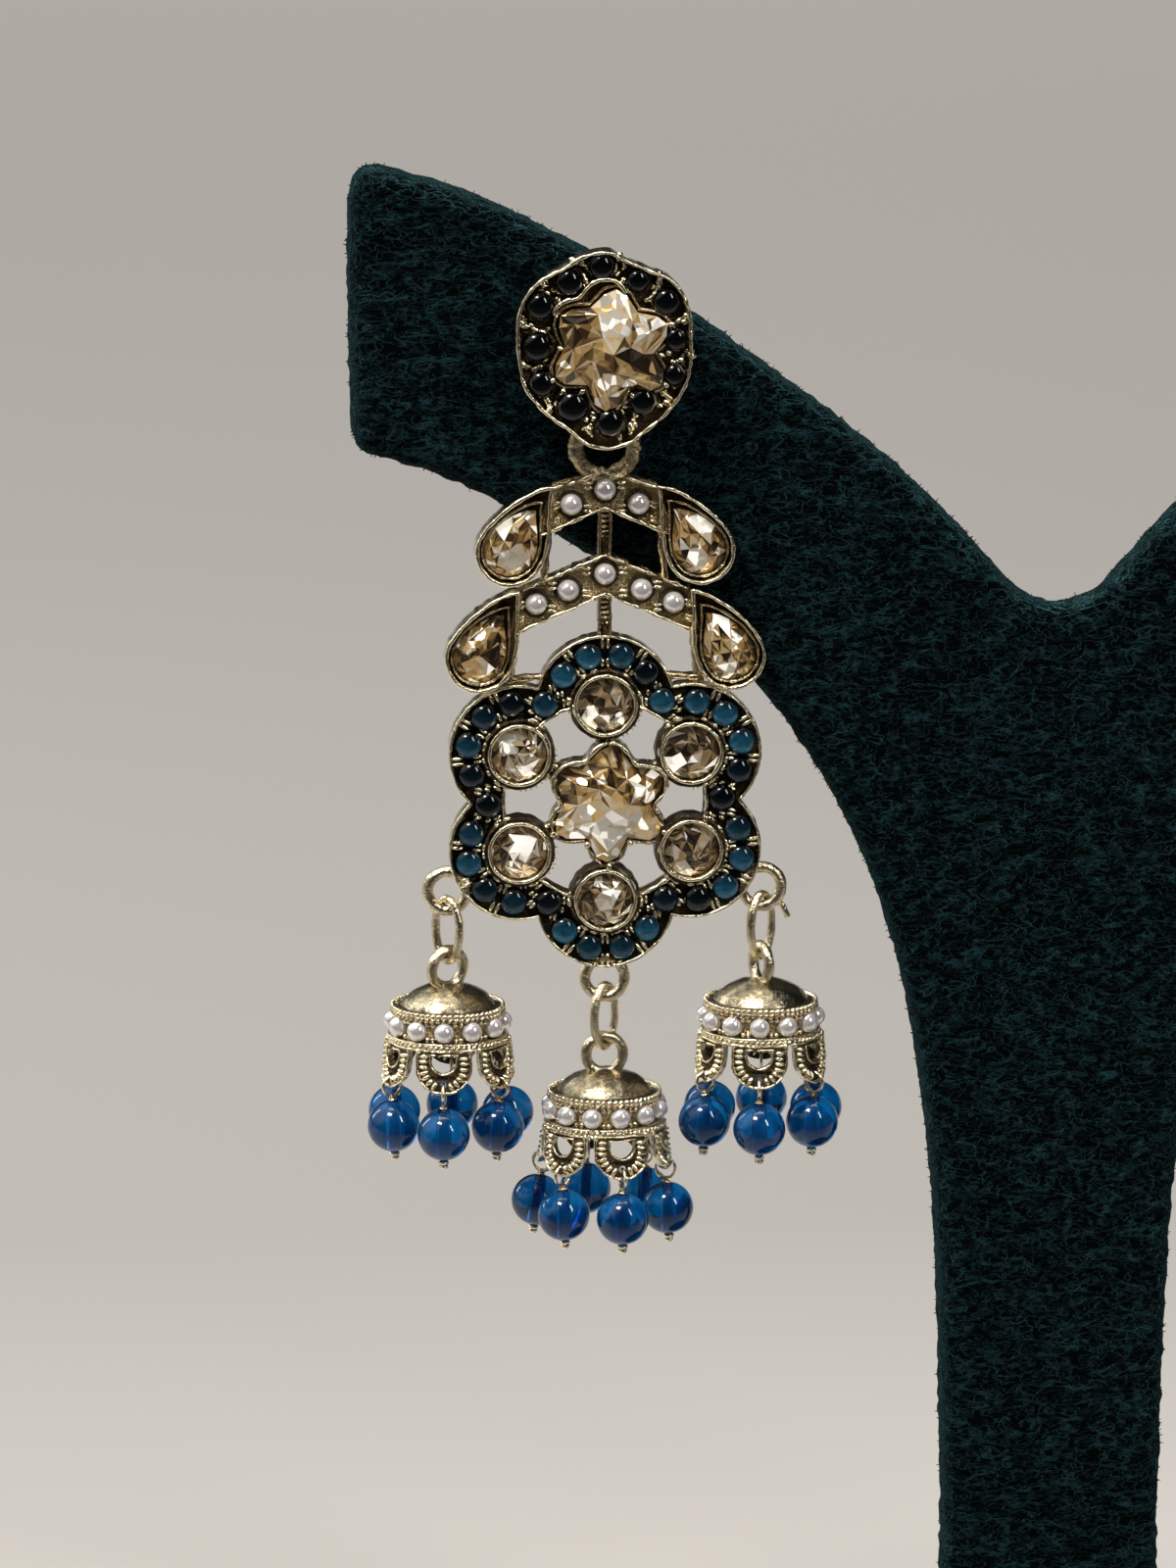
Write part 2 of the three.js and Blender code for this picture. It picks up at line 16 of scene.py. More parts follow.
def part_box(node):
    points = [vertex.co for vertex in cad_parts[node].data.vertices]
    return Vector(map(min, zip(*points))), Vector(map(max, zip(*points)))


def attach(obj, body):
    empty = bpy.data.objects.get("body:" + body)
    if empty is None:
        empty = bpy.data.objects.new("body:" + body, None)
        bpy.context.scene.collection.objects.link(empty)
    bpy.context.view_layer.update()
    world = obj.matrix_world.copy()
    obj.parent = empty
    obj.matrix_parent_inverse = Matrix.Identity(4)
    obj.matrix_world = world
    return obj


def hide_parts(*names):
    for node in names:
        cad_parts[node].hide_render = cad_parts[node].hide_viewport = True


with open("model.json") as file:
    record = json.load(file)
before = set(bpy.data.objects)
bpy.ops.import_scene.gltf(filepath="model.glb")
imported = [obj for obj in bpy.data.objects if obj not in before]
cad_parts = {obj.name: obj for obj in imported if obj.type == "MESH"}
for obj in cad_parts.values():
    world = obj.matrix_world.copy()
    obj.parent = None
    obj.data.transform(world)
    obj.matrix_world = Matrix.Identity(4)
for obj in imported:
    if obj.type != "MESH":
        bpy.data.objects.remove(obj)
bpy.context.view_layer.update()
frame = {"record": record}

MM = 0.001
TAU = 2 * math.pi
UPRIGHT = Matrix.Rotation(math.pi / 2, 4, "X")
bpy.context.scene.unit_settings.length_unit = "MILLIMETERS"


# ---------------- places taken from the frame


def middle(node):
    """The centre of a node's box, in millimetres."""
    low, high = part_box(node)
    return Vector([(low[i] + high[i]) / 2 / MM for i in range(3)])


def reach(node):
    """The lowest and highest corners of a node's box, in millimetres."""
    low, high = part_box(node)
    return Vector(low) / MM, Vector(high) / MM


STUD_CENTRE = middle("stud_star_stone")
PIVOT = Vector(frame["record"]["behaviour"]["joints"][0]["pos_m"]) / MM
FLOWER_CENTRE = middle("drop_star_stone")
EARRING_X = STUD_CENTRE.x
FLOWER_ON_BENCH = (0, FLOWER_CENTRE.z - STUD_CENTRE.z)
EYE_RADIUS = 1.1
# How deep the bench level stands for the castings that ride each body.
BACKS = {"stand": PIVOT.y - EYE_RADIUS, "drop": reach("drop_frame")[1].y}
BOARD_FRONT, BOARD_BACK = (corner.y for corner in reach("stand_board"))


# ---------------- shader maths


def fill(tree, slot, value):
    """Links a wire to a node's slot, or sets the slot's own value. A colour is three numbers."""
    if isinstance(value, Wire):
        tree.links.new(value.socket, slot)
    else:
        slot.default_value = (*value, 1) if slot.type == "RGBA" else value


class Wire:
    """A number that runs through a material, written like a number in Python."""

    def __init__(self, tree, socket):
        self.tree, self.socket = tree, socket

    def sum_of(self, operation, *values, clamp=False):
        node = self.tree.nodes.new("ShaderNodeMath")
        node.operation, node.use_clamp = operation, clamp
        for slot, value in zip(node.inputs, values):
            fill(self.tree, slot, value)
        return Wire(self.tree, node.outputs[0])

    def __add__(self, other):
        return self.sum_of("ADD", self, other)

    def __sub__(self, other):
        return self.sum_of("SUBTRACT", self, other)

    def __rsub__(self, other):
        return self.sum_of("SUBTRACT", other, self)

    def __mul__(self, other):
        return self.sum_of("MULTIPLY", self, other)

    def __truediv__(self, other):
        return self.sum_of("DIVIDE", self, other)

    __radd__ = __add__
    __rmul__ = __mul__

    def size(self):
        return self.sum_of("ABSOLUTE", self)

    def kept(self):
        """Kept between 0 and 1."""
        return self.sum_of("ADD", self, 0.0, clamp=True)

    def between(self, low, high):
        """0 below `low`, 1 above `high`, and even in between."""
        return ((self - low) / (high - low)).kept()


class Shading:
    """The nodes of a material or world, and the shader that they feed."""

    def __init__(self, owner, shader, **values):
        owner.use_nodes = True
        self.owner, self.tree = owner, owner.node_tree
        self.shader = self.tree.nodes[shader]
        self.feed(**values)

    def feed(self, **values):
        for socket, value in values.items():
            fill(self.tree, self.shader.inputs[socket.replace("_", " ")], value)

    def node(self, kind, settings=None, in_order=(), **named):
        """A new node: first its settings, then its slots, by their order or by their names."""
        made = self.tree.nodes.new("ShaderNode" + kind)
        for key, value in (settings or {}).items():
            if key == "stops":
                stops = made.color_ramp.elements
                while len(stops) < len(value):
                    stops.new(0.5)
                for stop, (place, colour) in zip(stops, value):
                    stop.position, stop.color = place, (*colour, 1)
            else:
                setattr(made, key, value)
        for slot, value in zip(made.inputs, in_order):
            fill(self.tree, slot, value)
        for key, value in named.items():
            fill(self.tree, made.inputs[key.replace("_", " ")], value)
        return made

    def wire(self, made, output=0):
        return Wire(self.tree, made.outputs[output])

    def place(self, stretch=(1, 1, 1), turn=(0, 0, 0)):
        """Object coordinates in millimetres, stretched and turned."""
        coords = self.wire(self.node("TexCoord"), "Object")
        scale = [1000 * s for s in stretch]
        return self.wire(self.node("Mapping", Vector=coords, Scale=scale, Rotation=turn))

    def noise(self, vector, scale, detail=3.0, rough=0.5, bend=0.0):
        named = {"Scale": scale, "Detail": detail, "Roughness": rough, "Distortion": bend}
        return self.wire(self.node("TexNoise", Vector=vector, **named), "Fac")

    def blend(self, factor, low, high):
        """A colour between two others."""
        mixing = self.node("Mix", {"data_type": "RGBA"}, Factor=factor)
        fill(self.tree, mixing.inputs[6], low)
        fill(self.tree, mixing.inputs[7], high)
        return self.wire(mixing, 2)

    def ramp(self, along, *stops):
        """A colour read from (place, colour) stops."""
        return self.wire(self.node("ValToRGB", {"stops": stops}, Fac=along))

    def vectors(self, operation, first, second, output=0):
        return self.wire(self.node("VectorMath", {"operation": operation}, (first, second)), output)

    def attribute(self, name):
        return self.wire(self.node("Attribute", {"attribute_name": name}), "Fac")

    def bump(self, height, depth_mm, strength=1.0):
        made = self.node("Bump", Height=height, Distance=depth_mm * MM, Strength=strength)
        self.feed(Normal=self.wire(made, "Normal"))


def new_finish(name, **values):
    return Shading(bpy.data.materials.new(name), "Principled BSDF", **values)


# ---------------- finishes


def antique_gold(name, bright, dark, rough, grime, relief=0.09):
    """Cast pale gold. Grime is how much of it is browned, from 0 to 1."""
    gold = new_finish(name, Metallic=1.0)
    place = gold.place()
    cloud = gold.noise(place, 1.0, 4, 0.65)
    grain = gold.noise(place, 5.0, 3, 0.6)
    edge = gold.wire(gold.node("NewGeometry"), "Pointiness").between(0.44, 0.56)
    brown = ((cloud - 0.5) * 2.3 + grime + (0.5 - edge) * 1.1).kept()
    gold.feed(
        Base_Color=gold.blend(brown, bright, dark),
        Roughness=rough + brown * 0.24 + (grain - 0.5) * 0.14,
    )
    gold.bump(cloud * 0.4 + grain * 0.6, relief)
    return gold.owner


def make_cabochon_finish():
    stone = new_finish("navy_cabochon", Roughness=0.02, IOR=1.47, Specular_IOR_Level=0.48)
    tone, glow = stone.attribute("tone"), stone.attribute("glow")
    cloud = stone.noise(stone.place((0.8, 1, 1.5)), 1.6, 3, 0.6, 0.6)
    # Painted light: each stone's painted lit share and its painted glow set how much lit blue shows over
    # black.
    share = (tone * glow * (cloud.between(0.30, 0.62) * 0.75 + 0.45)).kept()
    stone.feed(Base_Color=stone.blend(share, (0.0002, 0.0003, 0.0006), (0.030, 0.24, 0.42)))
    return stone.owner


def make_pearl_finish():
    pearl = new_finish("pearl", Metallic=0.58, Roughness=0.13, Coat_Weight=0.8, Coat_Roughness=0.03)
    cloud = pearl.noise(pearl.place(), 0.7, 2)
    pearl.feed(Base_Color=pearl.blend(cloud, (0.84, 0.79, 0.79), (0.97, 0.94, 0.94)))
    return pearl.owner


def make_facet_finish(name, smoke, brown, body, light, pale):
    """Foil-backed crystal. Each facet has its own painted glint, a painted reflection from smoke through
    its body to white.
    """
    crystal = new_finish(
        name, Roughness=0.06, IOR=1.56, Coat_Weight=0.7, Coat_Roughness=0.0, Emission_Strength=1.0
    )
    glint = crystal.attribute("glint")
    place = crystal.place((1, 1, 1), (0.4, 0.3, 0.5))
    cells = crystal.node("TexVoronoi", Vector=place, Scale=1.3, Randomness=1.0)
    chance, middle_of_cell = crystal.wire(cells, "Color"), crystal.wire(cells, "Position")
    split = crystal.node("SeparateColor", Color=chance)
    lift, flash = crystal.wire(split, "Red"), crystal.wire(split, "Green")
    # Painted glints: random cells shift each facet's painted reflection, and a few cells flash white.
    shade = glint + (lift - 0.55) * (glint * (1 - glint)) * 1.9 + flash.between(0.93, 0.94) * 0.5
    tint = crystal.ramp(
        shade.kept(), (0.0, (0.014, 0.010, 0.007)), (0.20, smoke), (0.36, brown), (0.50, body),
        (0.64, light), (0.80, pale), (0.90, (0.78, 0.74, 0.66)), (1.0, (1.0, 0.98, 0.93)),
    )
    # Painted highlight: the brightest facets glow by their own emission.
    sparks = crystal.blend(shade.between(0.92, 1.0), (0, 0, 0), (0.62, 0.58, 0.50))
    crystal.feed(Base_Color=tint, Metallic=0.42 - glint * 0.12, Emission_Color=sparks)
    away = crystal.vectors("SUBTRACT", place, middle_of_cell)
    tilt = crystal.vectors("SUBTRACT", chance, (0.5, 0.5, 0.5))
    crystal.bump(crystal.vectors("DOT_PRODUCT", away, tilt, "Value"), 1.0, 0.45)
    return crystal.owner


def make_bead_finish():
    glass = new_finish("blue_glass", Roughness=0.02, IOR=1.46, Transmission_Weight=0.80)
    # Painted light: lighter vertical streaks in the blue, set at random, stand for light passing through
    # the glass.
    streak = glass.noise(glass.place((1, 1, 0.25)), 0.8, 2).between(0.35, 0.7)
    glass.feed(Base_Color=glass.blend(streak, (0.0008, 0.062, 0.24), (0.004, 0.22, 0.62)))
    return glass.owner


def make_suede_finish():
    """Near black suede with painted light: thin light lines along its folds and finer lines between
    them, and higher points made lighter, as light catching crease tops; crinkles and fibres vary its own
    colour.
    """
    suede = new_finish(
        "teal_suede", Roughness=0.95, Specular_IOR_Level=0.04,
        Sheen_Weight=0.20, Sheen_Roughness=0.28, Sheen_Tint=(0.22, 0.60, 0.66),
    )
    flat = suede.place()
    fibre = suede.noise(flat, 8.0, 3, 0.7)
    wave = suede.noise(suede.place((0.42, 0.9, 1.05)), 0.9, 2, 0.5, 0.4)
    fold = (1 - (wave - 0.5).size() * 26).kept()
    ripple = suede.noise(suede.place((0.70, 1.1, 1.35)), 1.5, 2, 0.5, 0.5)
    line = (1 - (ripple - 0.5).size() * 24).kept()
    broken = suede.noise(flat, 1.1, 2, 0.5).between(0.25, 0.55)
    crinkle = suede.noise(suede.place((0.65, 0.9, 1.3)), 1.6, 3, 0.6, 0.4)
    ridge = suede.attribute("ridge")
    # Painted light: fold lines, finer lines and high points are lighter where light would catch the
    # crease tops.
    nap_and_crest_light = (
        fold * broken * 0.85 + line * broken * 0.62 + (fibre - 0.5) * 0.8
        + (crinkle - 0.5) * 1.2 + (ridge - 0.5) * 0.25 - 0.05
    ).kept()
    suede.feed(Base_Color=suede.blend(nap_and_crest_light, (0.0001, 0.0007, 0.0010), (0.016, 0.054, 0.065)))
    suede.bump(fibre * 0.12 + crinkle * 0.5 + (fold * 0.6 + line * 0.5) * broken, 0.9, 1.0)
    return suede.owner


def make_floor_finish():
    floor = new_finish("pale_floor", Roughness=0.9, Specular_IOR_Level=0.1)
    split = floor.node("SeparateXYZ", Vector=floor.wire(floor.node("TexCoord"), "Object"))
    # Painted shade and light: the floor is painted dark in front of the stand, standing in for a dark
    # room there, and in lighter and darker bands behind it, for the fall of light across the backdrop.
    front, back = -2.25, -0.75  # metres from the floor's middle
    along = floor.wire(split, "Y").between(front, back)
    floor.feed(
        Base_Color=floor.ramp(
            along, (0.07, (0.050, 0.046, 0.042)), (0.155, (0.60, 0.578, 0.546)),
            (0.30, (0.43, 0.414, 0.392)), (0.55, (0.55, 0.53, 0.503)), (1.0, (0.86, 0.83, 0.80)),
        )
    )
    return floor.owner


BRIGHT_GOLD = antique_gold("polished_gold", (0.92, 0.825, 0.60), (0.12, 0.082, 0.040), 0.08, 0.24)
AGED_GOLD = antique_gold("aged_gold", (0.72, 0.60, 0.39), (0.032, 0.021, 0.011), 0.11, 0.54, 0.14)
LINK_GOLD = antique_gold("link_gold", (0.80, 0.70, 0.50), (0.040, 0.028, 0.014), 0.04, 0.42, 0.12)
RAIL_GOLD = antique_gold("rail_gold", (0.46, 0.37, 0.24), (0.035, 0.022, 0.012), 0.16, 0.52, 0.14)
CAP_GOLD = antique_gold("cap_gold", (0.76, 0.67, 0.46), (0.045, 0.030, 0.014), 0.08, 0.42)
OLIVE_FLOOR = antique_gold("olive_floor", (0.52, 0.42, 0.23), (0.060, 0.042, 0.021), 0.22, 0.46, 0.50)
DARK_GOLD = antique_gold(
    "browned_recess", (0.10, 0.072, 0.042), (0.007, 0.0055, 0.004), 0.26, 0.66, 0.40
)
CABOCHON = make_cabochon_finish()
PEARL = make_pearl_finish()
CHAMPAGNE = make_facet_finish(
    "champagne_crystal", (0.060, 0.038, 0.022), (0.155, 0.100, 0.054), (0.32, 0.212, 0.098),
    (0.53, 0.39, 0.205), (0.60, 0.515, 0.38),
)
AMBER = make_facet_finish(
    "amber_crystal", (0.085, 0.048, 0.020), (0.22, 0.130, 0.046), (0.54, 0.335, 0.110),
    (0.76, 0.52, 0.22), (0.78, 0.64, 0.44),
)
BEAD_GLASS = make_bead_finish()
SUEDE = make_suede_finish()


# ---------------- camera, lights and floor

AZIMUTH, ELEVATION, VIEW_ANGLE = math.radians(-4), math.radians(12), math.radians(9.98)
CAMERA_DISTANCE = 0.700  # metres
AIM_LEFT, AIM_BELOW = 1.29, 34.92  # from the middle of the stud's star
FLOOR_SIZE, FLOOR_MIDDLE = 12, 2  # metres


def look_from(place, aim):
    """The turn that points a camera or lamp at `place` towards `aim`."""
    return (Vector(aim) - Vector(place)).to_track_quat("-Z", "Y").to_euler()


def make_camera():
    aim = Vector((EARRING_X - AIM_LEFT, PIVOT.y, STUD_CENTRE.z - AIM_BELOW)) * MM
    level = math.cos(ELEVATION)
    away = Vector((math.sin(AZIMUTH) * level, -math.cos(AZIMUTH) * level, math.sin(ELEVATION)))
    place = aim + away * CAMERA_DISTANCE
    bpy.ops.object.camera_add(location=place, rotation=look_from(place, aim))
    camera = bpy.context.object
    camera.name = "camera"
    camera.data.sensor_fit = "VERTICAL"
    camera.data.angle = VIEW_ANGLE
    camera.data.clip_start, camera.data.clip_end = 0.01, 20
    bpy.context.scene.camera = camera


def make_lamp(name, offset, wide, tall, brightness, tint):
    """A soft box that faces the flower. Brightness is against a white wall in full light."""
    aim = FLOWER_CENTRE * MM
    place = aim + Vector(offset)
    bpy.ops.object.light_add(type="AREA", location=place, rotation=look_from(place, aim))
    lamp = bpy.context.object
    lamp.name = name
    lamp.data.shape = "RECTANGLE"
    lamp.data.size, lamp.data.size_y = wide, tall
    lamp.data.energy = brightness * math.pi * wide * tall
    lamp.data.color = tint


def make_studio():
    make_lamp("key_softbox", (-0.24, -0.28, 0.66), 0.22, 0.15, 44, (1, 0.97, 0.93))
    make_lamp("right_strip", (0.36, -0.44, 0.42), 0.07, 0.34, 22, (1, 0.98, 0.96))
    make_lamp("top_softbox", (0.0, 0.05, 0.80), 0.50, 0.22, 5.0, (1, 0.98, 0.95))
    make_lamp("back_strip", (-0.55, 0.40, 0.30), 0.08, 0.4, 9, (0.97, 0.98, 1))
    scene = bpy.context.scene
    scene.view_settings.view_transform = "Standard"
    scene.world = bpy.data.worlds.new("studio")
    room = Shading(scene.world, "Background", Strength=1.0)
    ways = room.wire(room.node("TexCoord"), "Generated")
    toward_lamp = room.vectors("DOT_PRODUCT", ways, (-0.62, 0.10, 0.82), "Value")
    stops = (0.58, (0.036, 0.033, 0.030)), (0.92, (1.08, 1.05, 1.00))
    room.feed(Color=room.ramp(toward_lamp, *stops))


def make_floor():
    bpy.ops.mesh.primitive_plane_add(size=FLOOR_SIZE, location=(0, FLOOR_MIDDLE, 0))
    floor = bpy.context.object
    floor.name = "floor"
    floor.data.materials.append(make_floor_finish())


# ---------------- workshop


def put_down():
    """Leaves edit mode and selects nothing."""
    if bpy.context.object and bpy.context.object.mode != "OBJECT":
        bpy.ops.object.mode_set(mode="OBJECT")
    bpy.ops.object.select_all(action="DESELECT")


def pick_up(*pieces):
    put_down()
    for piece in pieces:
        piece.select_set(True)
    bpy.context.view_layer.objects.active = pieces[0]


def all_in_edit_mode(piece):
    pick_up(piece)
    bpy.ops.object.mode_set(mode="EDIT")
    bpy.ops.mesh.select_all(action="SELECT")


def faced_out(piece, gap=0.0):
    """Welds points closer than `gap` and turns every face outwards."""
    all_in_edit_mode(piece)
    if gap:
        bpy.ops.mesh.remove_doubles(threshold=gap)
    bpy.ops.mesh.normals_make_consistent(inside=False)
    bpy.ops.object.mode_set(mode="OBJECT")
    return piece


def coat(piece, finish):
    piece.data.materials.clear()
    piece.data.materials.append(finish)
    return piece


def smooth(piece, degrees=40):
    pick_up(piece)
    bpy.ops.object.shade_smooth_by_angle(angle=math.radians(degrees))
    return piece


def settle(piece):
    """Moves a piece's place, turn and size into its mesh."""
    pick_up(piece)
    bpy.ops.object.transform_apply(location=True, rotation=True, scale=True)
    return piece


def marked(piece, name, values, domain="POINT"):
    """Keeps a number at each point or face, for the piece's finish to read."""
    piece.data.attributes.new(name, "FLOAT", domain).data.foreach_set("value", values)
    return piece


def copy_of(pattern, name, place):
    """A copy with its own mesh, moved by a matrix."""
    copy = pattern.copy()
    copy.data = pattern.data.copy()
    copy.name = name
    bpy.context.collection.objects.link(copy)
    copy.data.transform(place)
    return copy


def copies(name, pattern, places, lit_shares=()):
    """One piece made of copies of a pattern, which is used up. Each may have its own share of painted
    light.
    """
    made = [copy_of(pattern, f"{pattern.name}_{i}", place) for i, place in enumerate(places)]
    for copy, tone in zip(made, lit_shares):
        marked(copy, "tone", [tone] * len(copy.data.vertices))
    bpy.data.objects.remove(pattern)
    return joined(name, made)


def joined(name, pieces):
    pick_up(*pieces)
    if len(pieces) > 1:
        bpy.ops.object.join()
    piece = bpy.context.object
    piece.name = piece.data.name = name
    return piece


def moved(x, y, z=0.0):
    return Matrix.Translation((x, y, z))


def turned(degrees, axis="Z"):
    return Matrix.Rotation(math.radians(degrees), 4, axis)


def sized(x, y, z):
    return Matrix.Diagonal((x, y, z, 1))


def finish_piece(piece, body, slot, *nodes):
    piece.data.name = piece.name
    if nodes:
        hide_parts(*nodes)
    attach(piece, body)


def stand_up(piece, place, body, slot, *nodes):
    """Takes an upright piece in millimetres to its place."""
    piece.data.transform(Matrix.Scale(MM, 4) @ place)
    finish_piece(piece, body, slot, *nodes)


def hang(piece, body, slot, *nodes):
    """Stands a piece from the bench upright, its bench level at its body's back."""
    stand_up(piece, moved(EARRING_X, BACKS[body], STUD_CENTRE.z) @ UPRIGHT, body, slot, *nodes)


def set_stone(stone, place, body, node):
    """Sets a cut stone, made on the bench level, at its place in the casting."""
    stone.data.transform(place)
    hang(stone, body, "champagne_crystal", node)


def around(distance, degrees, centre=(0.0, 0.0)):
    """A bench point at a clockwise angle from the top."""
    angle = math.radians(degrees)
    return centre[0] + distance * math.sin(angle), centre[1] + distance * math.cos(angle)


def sideways(step, far):
    """The angle in degrees that a short step aside takes up at a distance."""
    return step * 57.3 / far


def circle_line(radius, centre, steps=40):
    return [around(radius, 360 * i / steps, centre) for i in range(steps)]


def dense(line, longest=0.5):
    """The same line with points no further apart than `longest`."""
    full = []
    for a, b in zip(line, line[1:]):
        count = max(1, math.ceil(math.dist(a, b) / longest))
        full += [
            (a[0] + (b[0] - a[0]) * k / count, a[1] + (b[1] - a[1]) * k / count)
            for k in range(count)
        ]
    return full + [line[-1]]


def flowing(points, steps):
    """A smooth line through points, at even parameter steps."""
    line, last = [], len(points) - 1
    for k in range(steps + 1):
        t = last * k / steps
        i = min(int(t), last - 1)
        f = t - i
        p0, p1, p2, p3 = (Vector(points[min(max(i + d, 0), last)]) for d in (-1, 0, 1, 2))
        bend = (2 * p0 - 5 * p1 + 4 * p2 - p3) * f**2
        twist = (3 * p1 - p0 - 3 * p2 + p3) * f**3
        line.append(tuple(0.5 * (2 * p1 + (p2 - p0) * f + bend + twist)))
    return line


def solid_drawn(name, loops, closed=True, gap=0.0005, **settings):
    """A closed solid from a curve through loops of bench points. Its settings give it body."""
    curve = bpy.data.curves.new(name, "CURVE")
    for loop in loops:
        spline = curve.splines.new("POLY")
        spline.points.add(len(loop) - 1)
        for point, (x, y) in zip(spline.points, loop):
            point.co = (x, y, 0.0, 1.0)
        spline.use_cyclic_u = closed
    for key, value in settings.items():
        setattr(curve, key, value)
    piece = bpy.data.objects.new(name, curve)
    bpy.context.collection.objects.link(piece)
    pick_up(piece)
    bpy.ops.object.convert(target="MESH")
    return faced_out(bpy.context.object, gap)


def slab_of(name, loops, thick, edge, steps=1, gap=0.0005):
    """A plate with rounded edges, half above the bench. Later loops are its windows."""
    return solid_drawn(
        name, loops, gap=gap, dimensions="2D", fill_mode="BOTH", bevel_depth=edge,
        bevel_resolution=steps, offset=-edge, extrude=thick / 2 - edge,
    )


def sheet_of(name, loops, low, high, finish, edge=0.08):
    """A flat plate between two bench heights."""
    piece = slab_of(name, loops, high - low, edge)
    piece.data.transform(moved(0, 0, (low + high) / 2))
    return smooth(coat(piece, finish), 35)


def floor_of(name, loops, high, finish, low=0.0):
    """A channel floor, darkened in front and plain gold behind."""
    return [
        sheet_of(name, loops, 0.28, high, finish),
        sheet_of(name + "_back", loops, low, 0.30, AGED_GOLD),
    ]


def wall_of(name, line, low, high, half, finish, closed=True, uneven=0.05):
    """A standing wall with a rounded lip that follows a line on the bench."""
    piece = solid_drawn(
        name, [dense(line + line[:1], 0.3)[:-1] if closed else dense(line, 0.3)], closed,
        dimensions="3D", twist_mode="Z_UP", fill_mode="FULL", use_fill_caps=True,
        bevel_depth=half, bevel_resolution=2, extrude=max((high - low) / 2 - half, 0.0),
    )
    piece.data.transform(moved(0, 0, (low + high) / 2))
    return smooth(coat(uneven_cast(piece, uneven), finish), 60)


def uneven_cast(piece, depth, size=0.55):
    """A hand-finished casting: every point moves a little along its own normal."""
    ways = [vertex.normal.copy() for vertex in piece.data.vertices]
    for vertex, way in zip(piece.data.vertices, ways):
        vertex.co += way * depth * 2 * noise.noise(vertex.co / size)
    return piece


def ring_of(name, radius, wire, finish, place=(0, 0, 0), turn=(0, 0, 0), steps=(40, 14)):
    put_down()
    bpy.ops.mesh.primitive_torus_add(
        major_segments=steps[0], minor_segments=steps[1], major_radius=radius,
        minor_radius=wire, location=place, rotation=turn,
    )
    piece = settle(bpy.context.object)
    piece.name = name
    return smooth(coat(uneven_cast(piece, 0.035, 0.9), finish), 80)


def ball_of(name, radius, finish, steps=(20, 12)):
    put_down()
    bpy.ops.mesh.primitive_uv_sphere_add(segments=steps[0], ring_count=steps[1], radius=radius)
    piece = bpy.context.object
    piece.name = name
    return smooth(coat(piece, finish), 80)


def turned_of(name, profile, steps, finish, degrees=35):
    """A piece turned about +Z: rings of one circle, drawn out and sized one after another."""
    put_down()
    radius, level = profile[0]
    bpy.ops.mesh.primitive_circle_add(
        vertices=steps, radius=max(radius, 1e-3), fill_type="NOTHING", location=(0, 0, level)
    )
    piece = settle(bpy.context.object)
    piece.name = name
    all_in_edit_mode(piece)
    if profile[0] != profile[-1]:
        bpy.ops.mesh.edge_face_add()
    for wide, high in profile[1:]:
        wide = max(wide, 1e-3)
        share = wide / max(radius, 1e-3)
        bpy.ops.mesh.extrude_region_move(TRANSFORM_OT_translate={"value": (0, 0, high - level)})
        bpy.ops.transform.resize(value=(share, share, 1), center_override=(0, 0, high))
        radius, level = wide, high
    bpy.ops.object.mode_set(mode="OBJECT")
    return smooth(coat(faced_out(piece, 0.004), finish), degrees)


# ---------------- cut stones


def zipped(counts, starts):
    """Triangles between two closed rings of points that start at the same angle."""
    steps = sorted(((i + 0.5) / counts[ring], ring) for ring in (0, 1) for i in range(counts[ring]))
    faces, at = [], [0, 0]
    for _, ring in steps:
        low, high = (starts[k] + at[k] % counts[k] for k in (0, 1))
        at[ring] += 1
        faces.append((low, starts[ring] + at[ring] % counts[ring], high))
    return faces


def cut_stone(name, crown, glint_of, seed, finish):
    """A foil-backed stone from rings of (x, y, height), girdle first and middle point last.

    glint_of(x, y) gives a facet's painted glint, its painted reflection. Big facets of middling glint
    are cut into three.
    """
    back, taper = 0.9, 0.14
    chance = random.Random(seed)
    points = [point for ring in crown for point in ring]
    starts = [sum(len(ring) for ring in crown[:k]) for k in range(len(crown))]
    whole = []
    for low, high, first, second in zip(crown, crown[1:], starts, starts[1:]):
        if len(high) == 1:
            whole += [(first + i, first + (i + 1) % len(low), second) for i in range(len(low))]
        else:
            whole += zipped((len(low), len(high)), (first, second))
    faces, glints = [], []

    def cut(face, glint, spread):
        faces.append(face)
        glints.append(min(1.0, max(0.0, glint + chance.uniform(-spread, spread))))

    for face in whole:
        corners = [Vector(points[i]) for i in face]
        at = sum(corners, Vector()) / 3
        glint = glint_of(at.x, at.y)
        across = (corners[1] - corners[0]).cross(corners[2] - corners[0]).length / 2
        if 0.2 < glint < 0.7 and across > 0.24:
            shares = [chance.uniform(0.2, 0.5) for _ in corners]
            inner = sum((c * w for c, w in zip(corners, shares)), Vector()) / sum(shares)
            inner.z += chance.uniform(-0.05, 0.11)
            points.append(tuple(inner))
            for i in range(3):
                cut((face[i], face[(i + 1) % 3], len(points) - 1), glint, 0.34)
        else:
            cut(face, glint, 0.05)
    girdle, (middle_x, middle_y, _) = crown[0], crown[-1][0]
    first, count = len(points), len(girdle)
    points += [
        (x * (1 - taper) + middle_x * taper, y * (1 - taper) + middle_y * taper, z - back)
        for x, y, z in girdle
    ]
    faces += [(i, first + i, first + (i + 1) % count, (i + 1) % count) for i in range(count)]
    faces.append(tuple(first + i for i in range(count)))
    glints += [0.3] * (count + 1)
    mesh = bpy.data.meshes.new(name)
    mesh.from_pydata(points, [], faces)
    piece = bpy.data.objects.new(name, mesh)
    bpy.context.collection.objects.link(piece)
    return faced_out(marked(coat(piece, finish), "glint", glints, "FACE"))


